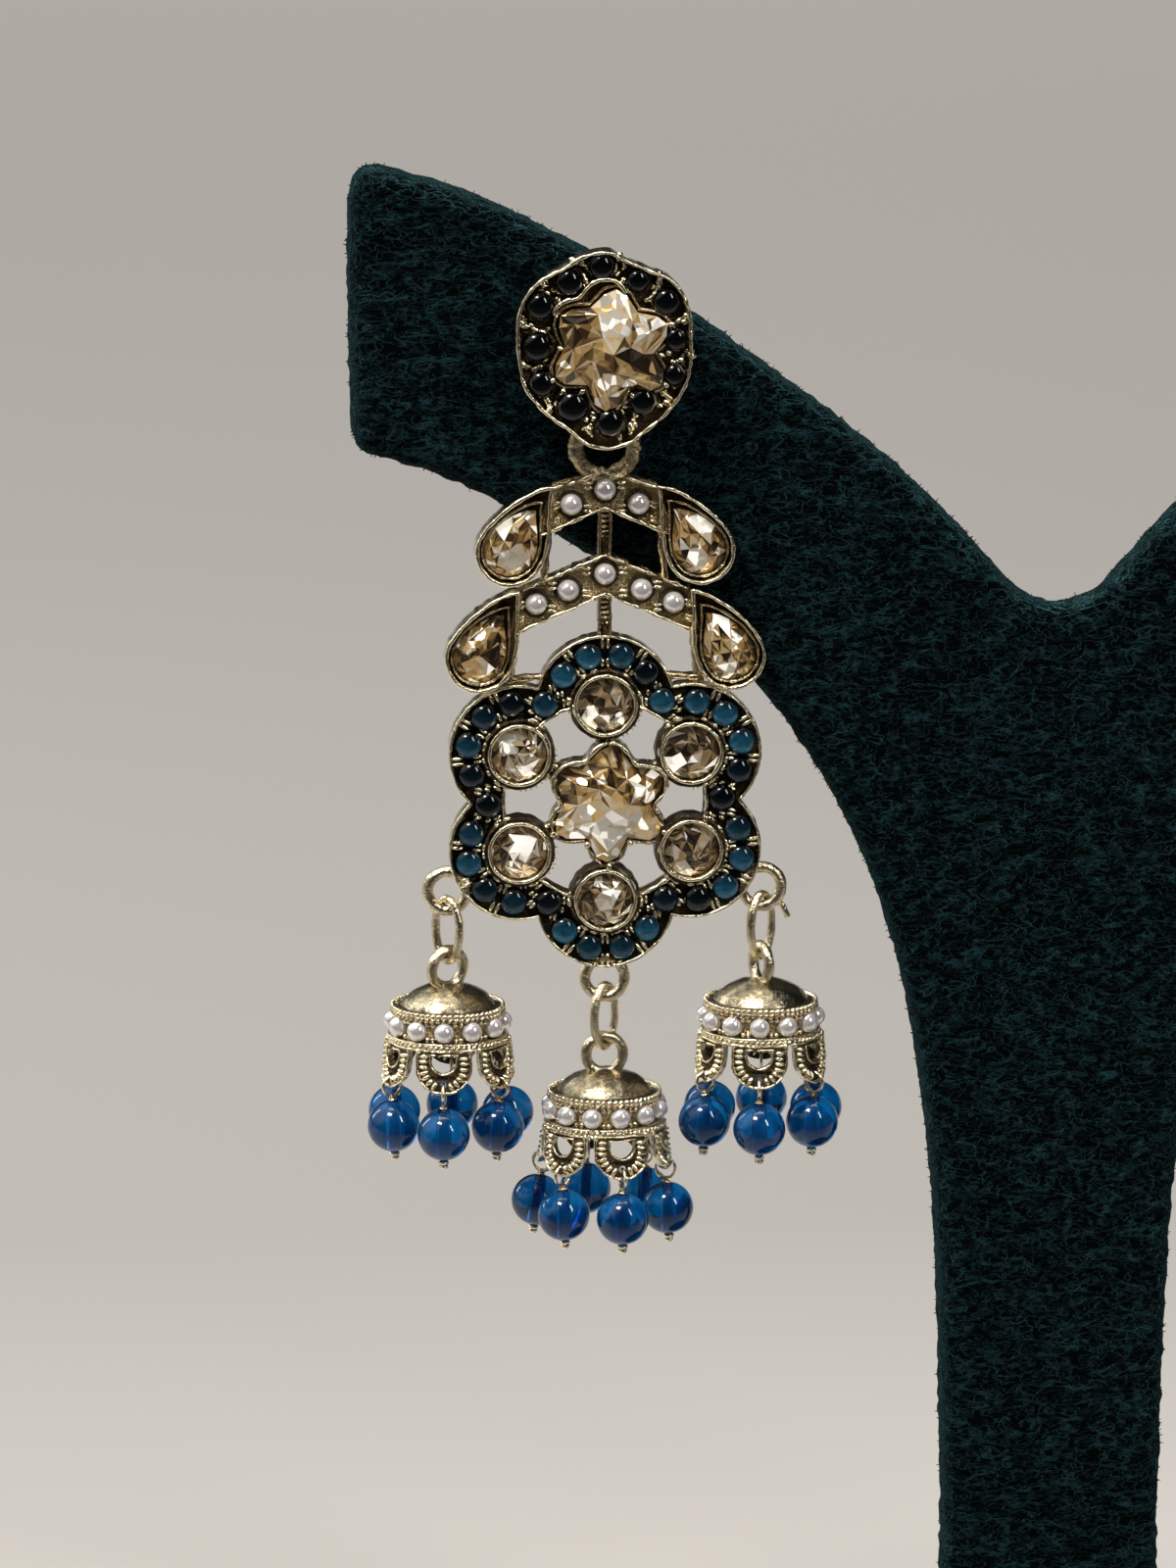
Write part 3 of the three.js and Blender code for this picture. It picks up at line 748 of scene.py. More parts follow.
def ring_points(count, radius, height, chance=None):
    """A ring of a stone's corners. With `chance`, they stand unevenly, half a step on."""
    points = []
    for i in range(count):
        turn, far, high = 360 * i / count, radius, height
        if chance:
            turn += 180 / count + chance.uniform(-11, 11)
            far *= chance.uniform(0.88, 1.08)
            high += chance.uniform(-0.06, 0.06)
        points.append((*around(far, turn), high))
    return points


def clockwise(x, y):
    """The clockwise angle of a point from the top, 0 to 360."""
    return math.degrees(math.atan2(x, y)) % 360


def sparkling(look, chance):
    """A rule for painted glints: a mean, then (x, y, reach, glint) patches, and the odd facet painted as
    a white flash.
    """
    mean, *patches = look

    def glint_of(x, y):
        for at_x, at_y, reach_of, glint in patches:
            if math.dist((x, y), (at_x, at_y)) < reach_of:
                return glint
        return 0.95 if chance.random() < 0.05 else mean + chance.uniform(-0.16, 0.16)

    return glint_of


def round_stone_of(name, radius, seed, look):
    chance = random.Random(seed + 2)
    crown = [
        ring_points(18, radius, 0.0),
        ring_points(18, radius, 0.12),
        ring_points(9, radius * 0.76, 0.46, chance),
        ring_points(6, radius * 0.42, 0.66, chance),
        [(chance.uniform(-0.2, 0.2), chance.uniform(-0.2, 0.2), 0.74)],
    ]
    return cut_stone(name, crown, sparkling(look, random.Random(seed + 1)), seed, CHAMPAGNE)


def valley_share(degrees):
    """How far out a star's valley lies against its tips: shallow above, deeper below."""
    return 0.72 + 0.06 * math.cos(math.radians(degrees + 30))


def star_ring(tip, height, petals=False, plump=1.0):
    """Six tips and six valleys by turns; `petals` rounds each tip with a shoulder each side."""
    around_tip = ((-11, 0.925), (0, 1), (11, 0.925)) if petals else ((0, 1),)
    points = []
    for axis in range(0, 360, 60):
        points += [(*around(tip * share, axis + side), height) for side, share in around_tip]
        points.append((*around(tip * valley_share(axis + 30) * plump, axis + 30), height))
    return points


def star_stone_of(name, tip, seed, half_kites):
    """A six-pointed stone. half_kites are the painted glints of its twelve big facets, clockwise:
    painted reflections.
    """
    chance = random.Random(seed + 5)
    table = [
        (x * chance.uniform(0.86, 1.08), y * chance.uniform(0.86, 1.08), z + chance.uniform(-0.16, 0.12))
        for x, y, z in star_ring(tip * 0.74, 1.0, plump=1.1)
    ]
    crown = [
        star_ring(tip, 0.0, petals=True),
        star_ring(tip, 0.28, petals=True),
        table,
        ring_points(7, tip * 0.33, 1.45, chance),
        [(0.1, -0.15, 1.75)],
    ]

    def glint_of(x, y):
        glint = half_kites[int(clockwise(x, y) // 30) % 12]
        return glint if math.hypot(x, y) < tip * 0.6 else 0.75 * glint + 0.10

    return cut_stone(name, crown, glint_of, seed, AMBER)


def pear_stone_of(name, outline, centre, seed, look):
    """A pear cut from its outline: rings drawn in towards the middle of the round end."""
    middle_x, middle_y = centre

    def drawn_in(share, height, step=1, start=0):
        return [
            (middle_x + (x - middle_x) * share, middle_y + (y - middle_y) * share, height)
            for x, y in outline[start::step]
        ]

    crown = [
        drawn_in(1.0, 0.0),
        drawn_in(1.0, 0.12),
        drawn_in(0.76, 0.52, 2, 1),
        drawn_in(0.42, 0.78, 4, 1),
        [(middle_x, middle_y, 0.92)],
    ]
    rule = sparkling(look, random.Random(seed + 1))
    return cut_stone(name, crown, lambda x, y: rule(x - middle_x, y - middle_y), seed, AMBER)


# ---------------- grains and small stones

CABOCHON_RADIUS = 1.13


def grains_of(name, places):
    """Beads of metal at (x, y, height, radius) places; (..., length, turn) draws one out."""
    pattern = ball_of("grain", 1.0, BRIGHT_GOLD, (8, 5))
    spots = []
    for x, y, z, wide, *more in places:
        long, turn = more or (wide, 0.0)
        spots.append(moved(x, y, z) @ turned(-turn) @ sized(wide, long, wide))
    return copies(name, pattern, spots)


def cabochons_of(name, places, height):
    """Low domes at (x, y, lit share[, size]) places; the lit share says how lit each is painted. 'glow'
    is painted light: lighter towards each dome's bottom, with a light crescent low down.
    """
    pattern = ball_of("cabochon", 1.0, CABOCHON)
    glow = []
    for vertex in pattern.data.vertices:
        x, y, z = vertex.co
        crescent = math.exp(-(((math.hypot(x, y) - 0.66) / 0.17) ** 2)) * max(0.0, 0.10 - y)
        body = max(0.0, 0.50 - 0.55 * y) * max(0.0, min(1.0, (z - 0.32) / 0.45))
        glow.append(0.58 * body + 1.05 * crescent)
    marked(pattern, "glow", glow)
    spots = []
    for x, y, _, *size in places:
        wide = CABOCHON_RADIUS * (size[0] if size else 1.0)
        spots.append(moved(x, y, height) @ sized(wide, wide, wide * 0.72))
    return copies(name, pattern, spots, [place[2] for place in places])


def pearls_of(name, places, radius):
    """Pearls at (x, y, height) places."""
    return copies(name, ball_of("pearl", radius, PEARL), [moved(*place) for place in places])


# ---------------- stud

STAR_TIP = 4.75
STUD_STAR, STUD_STAR_TURN = (0.27, -0.2), 5.0
STUD_FLOOR, STUD_TOP = 1.2, 2.45
POST_RADIUS, POST_LENGTH, POST_MIDDLE = 0.45, 12.6, -6.2
STUD_SEED, STUD_STAR_SEED = 3, 11
# The stud's cabochons, clockwise: degrees from the top, distance from the middle, size.
STUD_STONES = (
    (356, 6.3, 0.98), (24.5, 5.65, 0.86), (52.7, 5.75, 1.0), (84, 5.3, 0.86), (113, 5.65, 0.84),
    (147, 5.05, 1.05), (178, 5.9, 1.06), (210, 5.3, 1.18), (241, 5.8, 1.0), (271, 5.4, 1.10),
    (302, 6.1, 1.03), (330, 5.85, 1.02),
)
# The grains between two cabochons: how much further out they stand, half width, half length.
STUD_GRAINS = (
    (1.05, 0.32, 0.46), (0.70, 0.24, 0.32), (0.30, 0.27, 0.30), (-0.25, 0.23, 0.30),
    (-0.70, 0.29, 0.36), (1.0, 0.24, 0.30), (-1.0, 0.22, 0.26), (0.1, 0.20, 0.26),
)
# Single grains near the stud's rim: clockwise degrees from the top, distance from the middle.
STUD_DOTS = (
    (12, 6.25), (17, 6.05), (40, 6.4), (70, 6.1), (98, 5.9), (103, 6.0), (122, 6.1), (128, 5.7),
    (133, 6.35), (139, 6.15), (160, 6.4), (165, 6.95), (172, 7.15), (190, 7.0), (196, 6.6),
    (224, 6.4), (229, 6.2), (256, 6.45), (287, 6.6), (316, 6.8), (343, 6.7),
)
# The claws round the stud's star: their distance from its middle, and where they stand.
STUD_CLAWS = ((5.05, (67, 123, 185, 243)), (3.9, (96, 155, 215, 273)))
# The painted glints of the star's twelve half kites, clockwise from the top: painted reflections, dark
# to white.
STUD_KITES = (0.84, 0.66, 0.55, 0.06, 0.48, 0.58, 0.52, 0.47, 0.42, 0.34, 0.42, 0.88)
# The raised lip at the upper left of the stud's star.
STUD_LIP = (
    (-3.96, 2.45), (-4.08, 3.02), (-3.3, 3.66), (-2.2, 3.92), (-1.55, 4.75), (-0.5, 5.3),
    (0.75, 5.12), (1.4, 4.3),
)
# The stud's rim: clockwise degrees from the top, and distance from the middle.
STUD_RIM = (
    (0, 7.5), (14, 6.95), (28, 6.9), (42, 7.2), (56, 7.2), (71, 6.8), (86, 6.55), (102, 6.65),
    (120, 6.85), (136, 6.95), (154, 7.2), (168, 7.75), (180, 7.95), (192, 7.75), (206, 7.1),
    (228, 7.05), (246, 7.15), (262, 7.0), (276, 7.1), (290, 7.4), (303, 7.6), (317, 7.45),
    (331, 7.15), (345, 7.45),
)


def stud_outline(inset):
    """The rim's line, smoothed through its list laid out a little past one whole turn."""
    laid_out = [(a - 360, r) for a, r in STUD_RIM[-2:]] + list(STUD_RIM)
    laid_out += [(a + 360, r) for a, r in STUD_RIM[:3]]
    return [around(r - inset, a) for a, r in flowing(laid_out, 144) if 0 <= a < 360]


def star_line(grow, centre, turn, start=0, end=360):
    """The line round a turned star stone, or a stretch of it between two angles."""
    line = []
    for degrees in range(start, end, 5):
        phase = abs(math.cos(math.radians(3 * degrees))) ** 1.3
        valley = STAR_TIP * valley_share(degrees)
        line.append(around(valley + grow + (STAR_TIP - valley) * phase, degrees + turn, centre))
    return line


def make_stud():
    star = star_line(0.22, STUD_STAR, STUD_STAR_TURN)
    parts = [
        sheet_of("plate", [stud_outline(0.1)], 0.0, STUD_FLOOR, DARK_GOLD, 0.12),
        wall_of("rim", stud_outline(0.14), 0.1, STUD_TOP, 0.14, BRIGHT_GOLD),
        wall_of("star_foot", star, STUD_FLOOR - 0.3, 1.9, 0.14, AGED_GOLD),
        wall_of("star_lip", flowing(STUD_LIP, 40), STUD_FLOOR, STUD_TOP, 0.17, BRIGHT_GOLD, False),
    ]
    put_down()
    bpy.ops.mesh.primitive_cylinder_add(
        vertices=20, radius=POST_RADIUS, depth=POST_LENGTH, location=(0, 0, POST_MIDDLE)
    )
    parts.append(smooth(coat(settle(bpy.context.object), BRIGHT_GOLD)))
    eye_at = (0, PIVOT.z - STUD_CENTRE.z, -EYE_RADIUS)
    parts.append(ring_of("eye", EYE_RADIUS, 0.3, BRIGHT_GOLD, eye_at, (0, math.pi / 2, 0)))
    for degrees, far, size in STUD_STONES:
        cup = circle_line(1.08 * size + 0.08, around(far, degrees), 20)
        parts.append(
            wall_of("cup", cup, STUD_FLOOR - 0.1, STUD_FLOOR + 0.42, 0.08, DARK_GOLD, uneven=0.12)
        )
    hang(joined("stud_setting", parts), "stand", "antique_gold", "stud")


def make_stud_stones():
    chance = random.Random(STUD_SEED)
    # The stud's stones are painted all but unlit.
    stones = [(*around(far, degrees), 0.01, size) for degrees, far, size in STUD_STONES]
    grains = []
    for (here, far, _), (after, further, _) in zip(STUD_STONES, STUD_STONES[1:] + STUD_STONES[:1]):
        between = here + ((after - here) % 360) / 2
        for out, wide, long in STUD_GRAINS:
            spot = around((far + further) / 2 + out, between + chance.uniform(-5.0, 5.0))
            turn = between + chance.uniform(-50, 50)
            grains.append((*spot, STUD_FLOOR + chance.uniform(0.15, 0.5), wide, long, turn))
    for degrees, far in STUD_DOTS:
        wide, long = chance.uniform(0.16, 0.24), chance.uniform(0.20, 0.34)
        spot = around(far, degrees)
        grains.append((*spot, STUD_FLOOR + 0.3, wide, long, chance.uniform(0, 180)))
    for tip, turns in STUD_CLAWS:
        for degrees in turns:
            spot = around(tip, degrees, STUD_STAR)
            grains.append((*spot, STUD_FLOOR + 0.95, 0.22, 0.30, degrees))
    hang(cabochons_of("stud_cabochons", stones, STUD_FLOOR + 0.5), "stand", "navy_stone")
    hang(grains_of("stud_grains", grains), "stand", "antique_gold")
    star = star_stone_of("stud_star", STAR_TIP, STUD_STAR_SEED, STUD_KITES)
    place = moved(*STUD_STAR, STUD_FLOOR + 0.75) @ turned(-STUD_STAR_TURN)
    set_stone(star, place, "stand", "stud_star_stone")


# ---------------- flower

FLOOR = 1.0  # height of the channel floors above the frame's back
PITCH = 7.76  # from the flower's middle to the middle of each lobe
LOBE = 5.5  # radius of each lobe
BEZEL = 2.34  # radius of a round stone's bezel
CHANNEL_INSIDE, INNER_WALL = 7.75, 7.95  # from the flower's middle
LOBE_CABOCHONS, JUNCTION_CABOCHON = 4.02, 9.15  # from the lobe's middle and the flower's
FLOWER_SEED, FLOWER_STAR_SEED, ROUND_STONE_SEED = 12, 23, 40
FLOWER_STAR, FLOWER_STAR_TURN = (0.3, -0.2), 2.0
# The painted glints of the flower star's twelve half kites, clockwise from the top.
FLOWER_KITES = (0.52, 0.60, 0.34, 0.80, 0.90, 0.96, 0.94, 0.90, 0.76, 0.28, 0.46, 0.48)
# Painted light of the flower's small stones, clockwise from the left of the top lobe: 1 is painted lit
# blue, 0 unlit.
FLOWER_LIT_SHARES = (
    (1.0, 0.95, 0.60, 0.05), (0.75, 0.95, 0.95, 0.08), (0.35, 0.75, 0.90, 0.05),
    (0.90, 0.40, 0.45, 0.95), (0.30, 0.15, 0.80, 0.45), (0.08, 0.45, 0.20, 0.05),
)
# Painted light of the stones where the lobes meet, the same way.
JUNCTION_LIT_SHARES = (0.85, 0.04, 0.12, 0.05, 0.04, 0.45)
# How each round stone's painted glints fall: its mean, then (x, y, reach, glint) patches of painted
# reflection and flare.
ROUND_LOOKS = (
    (0.31, (-1.2, -1.0, 0.75, 0.97), (0.75, 1.0, 0.5, 0.8), (0.9, -1.1, 0.6, 0.6)),
    (0.37, (-1.3, -0.8, 0.7, 1.0), (1.1, -0.4, 0.5, 0.72), (-0.5, 1.1, 0.6, 0.60)),
    (0.40, (1.0, 1.1, 0.7, 0.80), (-1.2, -0.3, 0.6, 0.74), (-0.6, -1.3, 0.6, 0.92)),
    (0.34, (0.0, 0.0, 0.85, 0.86), (-0.9, 1.1, 0.6, 0.5), (1.1, -0.9, 0.5, 0.5)),
    (0.50, (0.2, 0.6, 1.05, 1.0), (-1.2, -0.9, 1.0, 0.34), (0.9, -1.2, 0.8, 0.62)),
    (0.42, (0.7, -1.0, 0.6, 1.0), (-0.7, 1.1, 0.8, 0.82), (-1.2, -0.6, 0.7, 0.6)),
)


def lobed_line(radius):
    """The outer line of six equal discs set round the flower."""
    half, per_lobe = math.pi / 6, 26
    far = PITCH * math.cos(half) + math.sqrt(radius**2 - (PITCH * math.sin(half)) ** 2)
    sweep = math.degrees(math.atan2(far * math.sin(half), far * math.cos(half) - PITCH))
    return [
        around(radius, 60 * i - sweep + 2 * sweep * (step / per_lobe), lobe_middle(i))
        for i in range(6)
        for step in range(per_lobe)
    ]


def lobe_middle(i):
    return around(PITCH, 60 * i, FLOWER_ON_BENCH)


def lobe_walls(i):
    """A lobe's stone bezel, the inner wall beside it and the spoke that holds it."""
    lobe, outward = lobe_middle(i), 60 * i

    def on_spoke(far, aside=(0, 0)):
        x, y = around(far, outward, FLOWER_ON_BENCH)
        return x + aside[0], y + aside[1]

    bezel, foot = circle_line(BEZEL, lobe, 48), circle_line(BEZEL + 0.36, lobe, 48)
    turns = (-14, -9, -4.5, 0, 4.5, 9, 14)
    arc = [around(INNER_WALL, outward + 30 + turn, FLOWER_ON_BENCH) for turn in turns]
    parts = [
        *floor_of("bezel_floor", [circle_line(2.4, lobe)], 0.6, DARK_GOLD, 0.04),
        wall_of("bezel", bezel, 0.0, 2.4, 0.15, BRIGHT_GOLD, uneven=0.02),
        wall_of("bezel_foot", foot, 0.0, 1.80, 0.13, DARK_GOLD),
        wall_of("inner_wall", arc, 0.05, 1.75, 0.15, BRIGHT_GOLD, False, 0.07),
    ]
    for side in (-1, 1):
        aside = around(0.48 * side, outward + 90)
        edge = [on_spoke(4.1, aside), on_spoke(5.6, aside)]
        parts.append(wall_of("spoke_edge", edge, 0.05, 1.45, 0.22, AGED_GOLD, False))
    bar = [on_spoke(4.0), on_spoke(5.7)]
    return parts + [wall_of("spoke", bar, 0.05, 1.1, 0.4, DARK_GOLD, False)]


def lobe_grains(i, chance):
    """The grains round a lobe's bezel, between its cabochons and in the corner after it."""
    lobe, outward = lobe_middle(i), 60 * i
    grains = []
    for step in range(11):
        turn = outward - 100 + 20 * step + chance.uniform(-5, 5)
        if chance.random() < 0.75:
            long = chance.uniform(0.24, 0.42)
            grains.append((*around(2.80, turn, lobe), 1.72, 0.15, long, turn + 90))
    for step in range(12):
        turn = 84 + 8.5 * step + chance.uniform(-1, 1)
        grains.append((*around(2.80, turn, lobe), 1.66, 0.085, 0.24, turn))
    for gap in (-36.5, 0, 36.5):
        for far, long in ((4.84, 0.54), (3.28, 0.44)):
            for side in (-1, 1):
                turn = outward + gap
                at = around(far, turn + sideways(side * 0.22, far), lobe)
                grains.append((*at, FLOOR + 0.55, 0.17, long, turn))
    for side in (-1, 1):
        for far, away, long in ((9.95, 5.6, 0.44), (8.5, 9.0, 0.40), (9.25, 7.6, 0.30)):
            for step in (-0.18, 0.18):
                turn = outward + 30 + side * away
                at = around(far, turn + sideways(step, far), FLOWER_ON_BENCH)
                grains.append((*at, FLOOR + 0.52, 0.16, long, turn + side * 20))
    return grains


def make_flower():
    star_at = (FLOWER_STAR[0], FLOWER_STAR[1] + FLOWER_ON_BENCH[1])
    channel = [lobed_line(LOBE - 0.1), circle_line(CHANNEL_INSIDE, FLOWER_ON_BENCH, 60)]
    star, upper_star = (star_line(0.2, star_at, FLOWER_STAR_TURN, *ends) for ends in ((), (-98, 98)))
    parts = [
        *floor_of("flower_floor", channel, FLOOR, DARK_GOLD),
        wall_of("outer_wall", lobed_line(LOBE - 0.12), 0.05, 1.85, 0.12, BRIGHT_GOLD),
        wall_of("star_foot", star, 0.0, 1.5, 0.15, AGED_GOLD),
        wall_of("star_lip", upper_star, 0.4, 2.25, 0.15, BRIGHT_GOLD, False, 0.08),
        sheet_of("star_floor", [star_line(0.1, star_at, FLOWER_STAR_TURN)], 0.0, 0.7, AGED_GOLD),
    ]
    stones, grains = [], []
    chance = random.Random(FLOWER_SEED)
    for i in range(6):
        parts += lobe_walls(i)
        grains += lobe_grains(i, chance)
        for at, tone in zip((-54, -19, 18, 52), FLOWER_LIT_SHARES[i]):
            stones.append((*around(LOBE_CABOCHONS, 60 * i + at, lobe_middle(i)), tone))
        stones.append((*around(JUNCTION_CABOCHON, 60 * i + 29, FLOWER_ON_BENCH), JUNCTION_LIT_SHARES[i]))
    for degrees in (118, 152, 180, 208, 242):
        at_tip = degrees in (118, 180, 242)
        far = STAR_TIP + 0.2 if at_tip else STAR_TIP * valley_share(degrees) + 0.35
        grains.append((*around(far, degrees, star_at), 1.75, 0.24, 0.32, degrees))
    hang(cabochons_of("flower_cabochons", stones, FLOOR + 0.42), "drop", "navy_stone")
    hang(grains_of("flower_grains", grains), "drop", "antique_gold")
    for i, look in enumerate(ROUND_LOOKS):
        seed = ROUND_STONE_SEED + 7 * i
        stone = round_stone_of(f"round_stone_{i + 1}_cut", 2.14, seed, look)
        set_stone(stone, moved(*lobe_middle(i), 1.5), "drop", f"round_stone_{i + 1}")
    cut_star = star_stone_of("flower_star", STAR_TIP - 0.1, FLOWER_STAR_SEED, FLOWER_KITES)
    place = moved(*star_at, 1.3) @ turned(-FLOWER_STAR_TURN)
    set_stone(cut_star, place, "drop", "drop_star_stone")
    return parts


# ---------------- leaves

# Each leaf: the middle of its round end, its tip, and the painted glints of its left and right stones.
LEAVES = {
    "upper": ((7.4, -16.3), (4.1, -11.2), {
        -1: (0.50, (-0.6, 2.0, 0.9, 1.0), (0.7, 1.0, 0.9, 0.55), (0.2, -1.0, 1.0, 0.84)),
        1: (0.44, (0.5, 2.1, 1.2, 0.98), (-0.4, -0.8, 0.8, 0.88), (1.0, -0.2, 0.7, 0.3)),
    }),
    "lower": ((9.8, -24.65), (6.7, -19.4), {
        -1: (0.42, (-0.1, 1.9, 0.9, 0.66), (0.9, -0.1, 0.7, 0.12), (-0.4, -1.1, 0.9, 0.72)),
        1: (0.40, (-0.7, 2.3, 0.7, 1.0), (0.3, 0.6, 0.8, 0.5), (-0.2, -1.4, 0.7, 0.96)),
    }),
}


def leaf_line(centre, tip, round_end, shorten, side, steps=9):
    """A leaf's outline: a round end that runs into a tip, fuller on its outer side."""
    axis = Vector((tip[0] - centre[0], tip[1] - centre[1]))
    length = axis.length - shorten
    axis.normalize()
    leave = math.radians(10)
    left = (-round_end * math.cos(leave), round_end * math.sin(leave))

    def bent(*corners):
        p0, p1, p2, p3 = map(Vector, corners)
        for t in (k / steps for k in range(steps)):
            yield p0 * (1 - t) ** 3 + 3 * p1 * t * (1 - t) ** 2 + 3 * p2 * t**2 * (1 - t) + p3 * t**3

    def round_way():
        for k in range(2 * steps):
            angle = math.pi - leave + (math.pi + leave) * k / (2 * steps)
            yield Vector((round_end * math.cos(angle), round_end * math.sin(angle)))

    inner = bent(
        (0, length), (-0.2 * round_end, length * 0.75), (-0.95 * round_end, 0.9 * round_end), left
    )
    outer = bent(
        (round_end, 0), (round_end, 0.9 * round_end), (0.4 * round_end, length * 0.91), (0, length)
    )
    return [
        (side * (centre[0] + axis.y * p.x + axis.x * p.y), centre[1] - axis.x * p.x + axis.y * p.y)
        for p in (*inner, *round_way(), *outer)
    ]


def make_leaves():
    parts = []
    for name, (centre, tip, looks) in LEAVES.items():
        for side, word in ((1, "right"), (-1, "left")):
            outer = leaf_line(centre, tip, 2.56, 0.10, side)
            inner = leaf_line(centre, tip, 2.14, 1.5, side)
            parts += [
                *floor_of("leaf_floor", [leaf_line(centre, tip, 2.6, 0, side)], 0.75, DARK_GOLD),
                wall_of("leaf_rim", outer, 0.05, 2.25, 0.15, BRIGHT_GOLD),
                wall_of("leaf_bezel", inner, 0.3, 1.65, 0.10, AGED_GOLD, uneven=0.04),
            ]
            outline = leaf_line(centre, tip, 1.98, 2.3, side, 6)
            if side < 0:
                outline = outline[:1] + outline[:0:-1]
            node = f"leaf_stone_{name}_{word}"
            middle_of_stone = (side * centre[0], centre[1] + 0.3)
            seed = ord(name[0]) + side * 3
            stone = pear_stone_of(node + "_cut", outline, middle_of_stone, seed, looks[side])
            set_stone(stone, moved(0, 0, 1.25), "drop", node)
    return parts


# ---------------- pearl bars, rails and rings

RING_REACH = 14.2  # from the flower's middle to the middle of each side ring
BAR_PEARL = 0.86
# Half of each pearl bar, from its middle outwards: its edges, its pearls and its floor.
CHEVRONS = (
    {
        "top": [(0, -10.0), (4.2, -11.3)],
        "bottom": [(0, -13.05), (4.9, -15.2)],
        "pearls": [(0, -11.55), (2.62, -12.7)],
        "plate": [(0, -10.0), (4.1, -11.2), (5.1, -14.2), (4.9, -15.2), (0, -13.05)],
    },
    {
        "top": [(0, -16.55), (6.4, -19.2)],
        "bottom": [(0, -19.86), (6.9, -22.9)],
        "pearls": [(0, -18.2), (2.85, -19.45), (5.35, -20.5)],
        "plate": [(0, -16.55), (4.2, -18.3), (6.8, -19.4), (7.4, -22.6), (6.9, -22.9), (0, -19.86)],
    },
)
# The rails of one side: a line and half its width.
RAILS = (
    ([(4.3, -14.4), (4.75, -18.9)], 0.3),
    ([(6.85, -22.4), (7.35, -26.7)], 0.32),
    ([(4.9, -26.35), (7.8, -26.55)], 0.26),
)


def both_ways(points):
    """A half line from the middle outwards, made whole from left to right."""
    return [(-x, y) for x, y in reversed(points[1:])] + list(points)


def make_pearl_bars():
    parts, pearls, grains = [], [], []
    for plan in CHEVRONS:
        plate = plan["plate"] + [(-x, y) for x, y in reversed(plan["plate"]) if x > 0]
        parts.append(sheet_of("chevron_floor", [plate], 0.0, 0.95, OLIVE_FLOOR))
        for edge, inwards in (("top", -0.14), ("bottom", 0.14)):
            line = both_ways([(x, y + inwards) for x, y in plan[edge]])
            parts.append(wall_of("chevron_edge", line, 0.05, 1.66, 0.11, BRIGHT_GOLD, False, 0.11))
        spots = both_ways(plan["pearls"])
        pearls += [(x, y, 1.35) for x, y in spots]
        for (xa, ya), (xb, yb) in zip(spots, spots[1:]):
            for rise in (1, -1):
                for step in (-0.2, 0.2):
                    x, y = (xa + xb) / 2, (ya + yb) / 2 + (0.90 + step) * rise
                    grains.append((x, y, 1.3, 0.15, 0.42, 90))
        for x, y in (spots[0], spots[-1]):
            out = math.copysign(1.15, x)
            for rise in (0.35, 0.0, -0.85, -1.15):
                grains.append((x + out, y - 0.25 + rise, 1.3, 0.15, 0.34, 90 + 20 * out))
        for spot in spots:
            cup = circle_line(1.02, spot, 20)
            parts.append(wall_of("pearl_cup", cup, 0.7, 1.2, 0.12, DARK_GOLD))
    hang(pearls_of("drop_pearls", pearls, BAR_PEARL), "drop", "pearl")
    hang(grains_of("drop_grains", grains), "drop", "antique_gold")
    return parts


def make_rails():
    """The two laddered bars on the middle line, and the plain rails either side."""
    parts = []
    for low, high in ((-16.9, -12.9), (-23.2, -19.7)):
        for x in (-0.42, 0.42):
            edge = [(x, low), (x, high)]
            parts.append(wall_of("bar_edge", edge, 0.1, 1.35, 0.12, RAIL_GOLD, False, 0.06))
        parts.append(wall_of("bar", [(0, low), (0, high)], 0.1, 0.9, 0.4, DARK_GOLD, False))
        for step in range(6):
            y, top = high - 0.35 - 0.42 * step, 1.12 - 0.05 * step
            parts.append(wall_of("rung", [(-0.3, y), (0.3, y)], 0.5, top, 0.11, AGED_GOLD, False))
    for side in (-1, 1):
        for line, half in RAILS:
            path = [(side * x, y) for x, y in line]
            parts.append(wall_of("rail", path, 0.1, 1.3, half, RAIL_GOLD, False, 0.08))
    return parts


def make_hang_ring():
    """The cast ring the drop hangs by, a little flat and left rough by the file."""
    radius, wire, flatness = 2.22, 0.66, 0.72
    down, level = -8.25, 0.9
    ring = ring_of("hang_ring", radius, wire, AGED_GOLD, (0, down, level), steps=(72, 14))
    ring.data.transform(moved(0, 0, level) @ sized(1, 1, flatness) @ moved(0, 0, -level))
    return uneven_cast(ring, 0.13, 0.38)


def make_side_rings():
    rings = []
    for plan in BELLS.values():
        place = (*around(RING_REACH, plan["at"], FLOWER_ON_BENCH), 0.9)
        rings.append(ring_of("side_ring", 1.55, 0.46, LINK_GOLD, place))
    x, y = around(RING_REACH, BELLS["right"]["at"], FLOWER_ON_BENCH)
    spur = [(x + 1.2, y - 1.0), (x + 1.75, y - 1.7), (x + 2.1, y - 2.5)]
    return rings + [wall_of("spur", spur, 0.60, 1.15, 0.25, BRIGHT_GOLD, False)]


def make_drop():
    parts = [make_hang_ring()] + make_pearl_bars() + make_rails()
    parts += make_leaves() + make_flower() + make_side_rings()
    hang(joined("drop_setting", parts), "drop", "antique_gold", "drop_frame")


# ---------------- bells

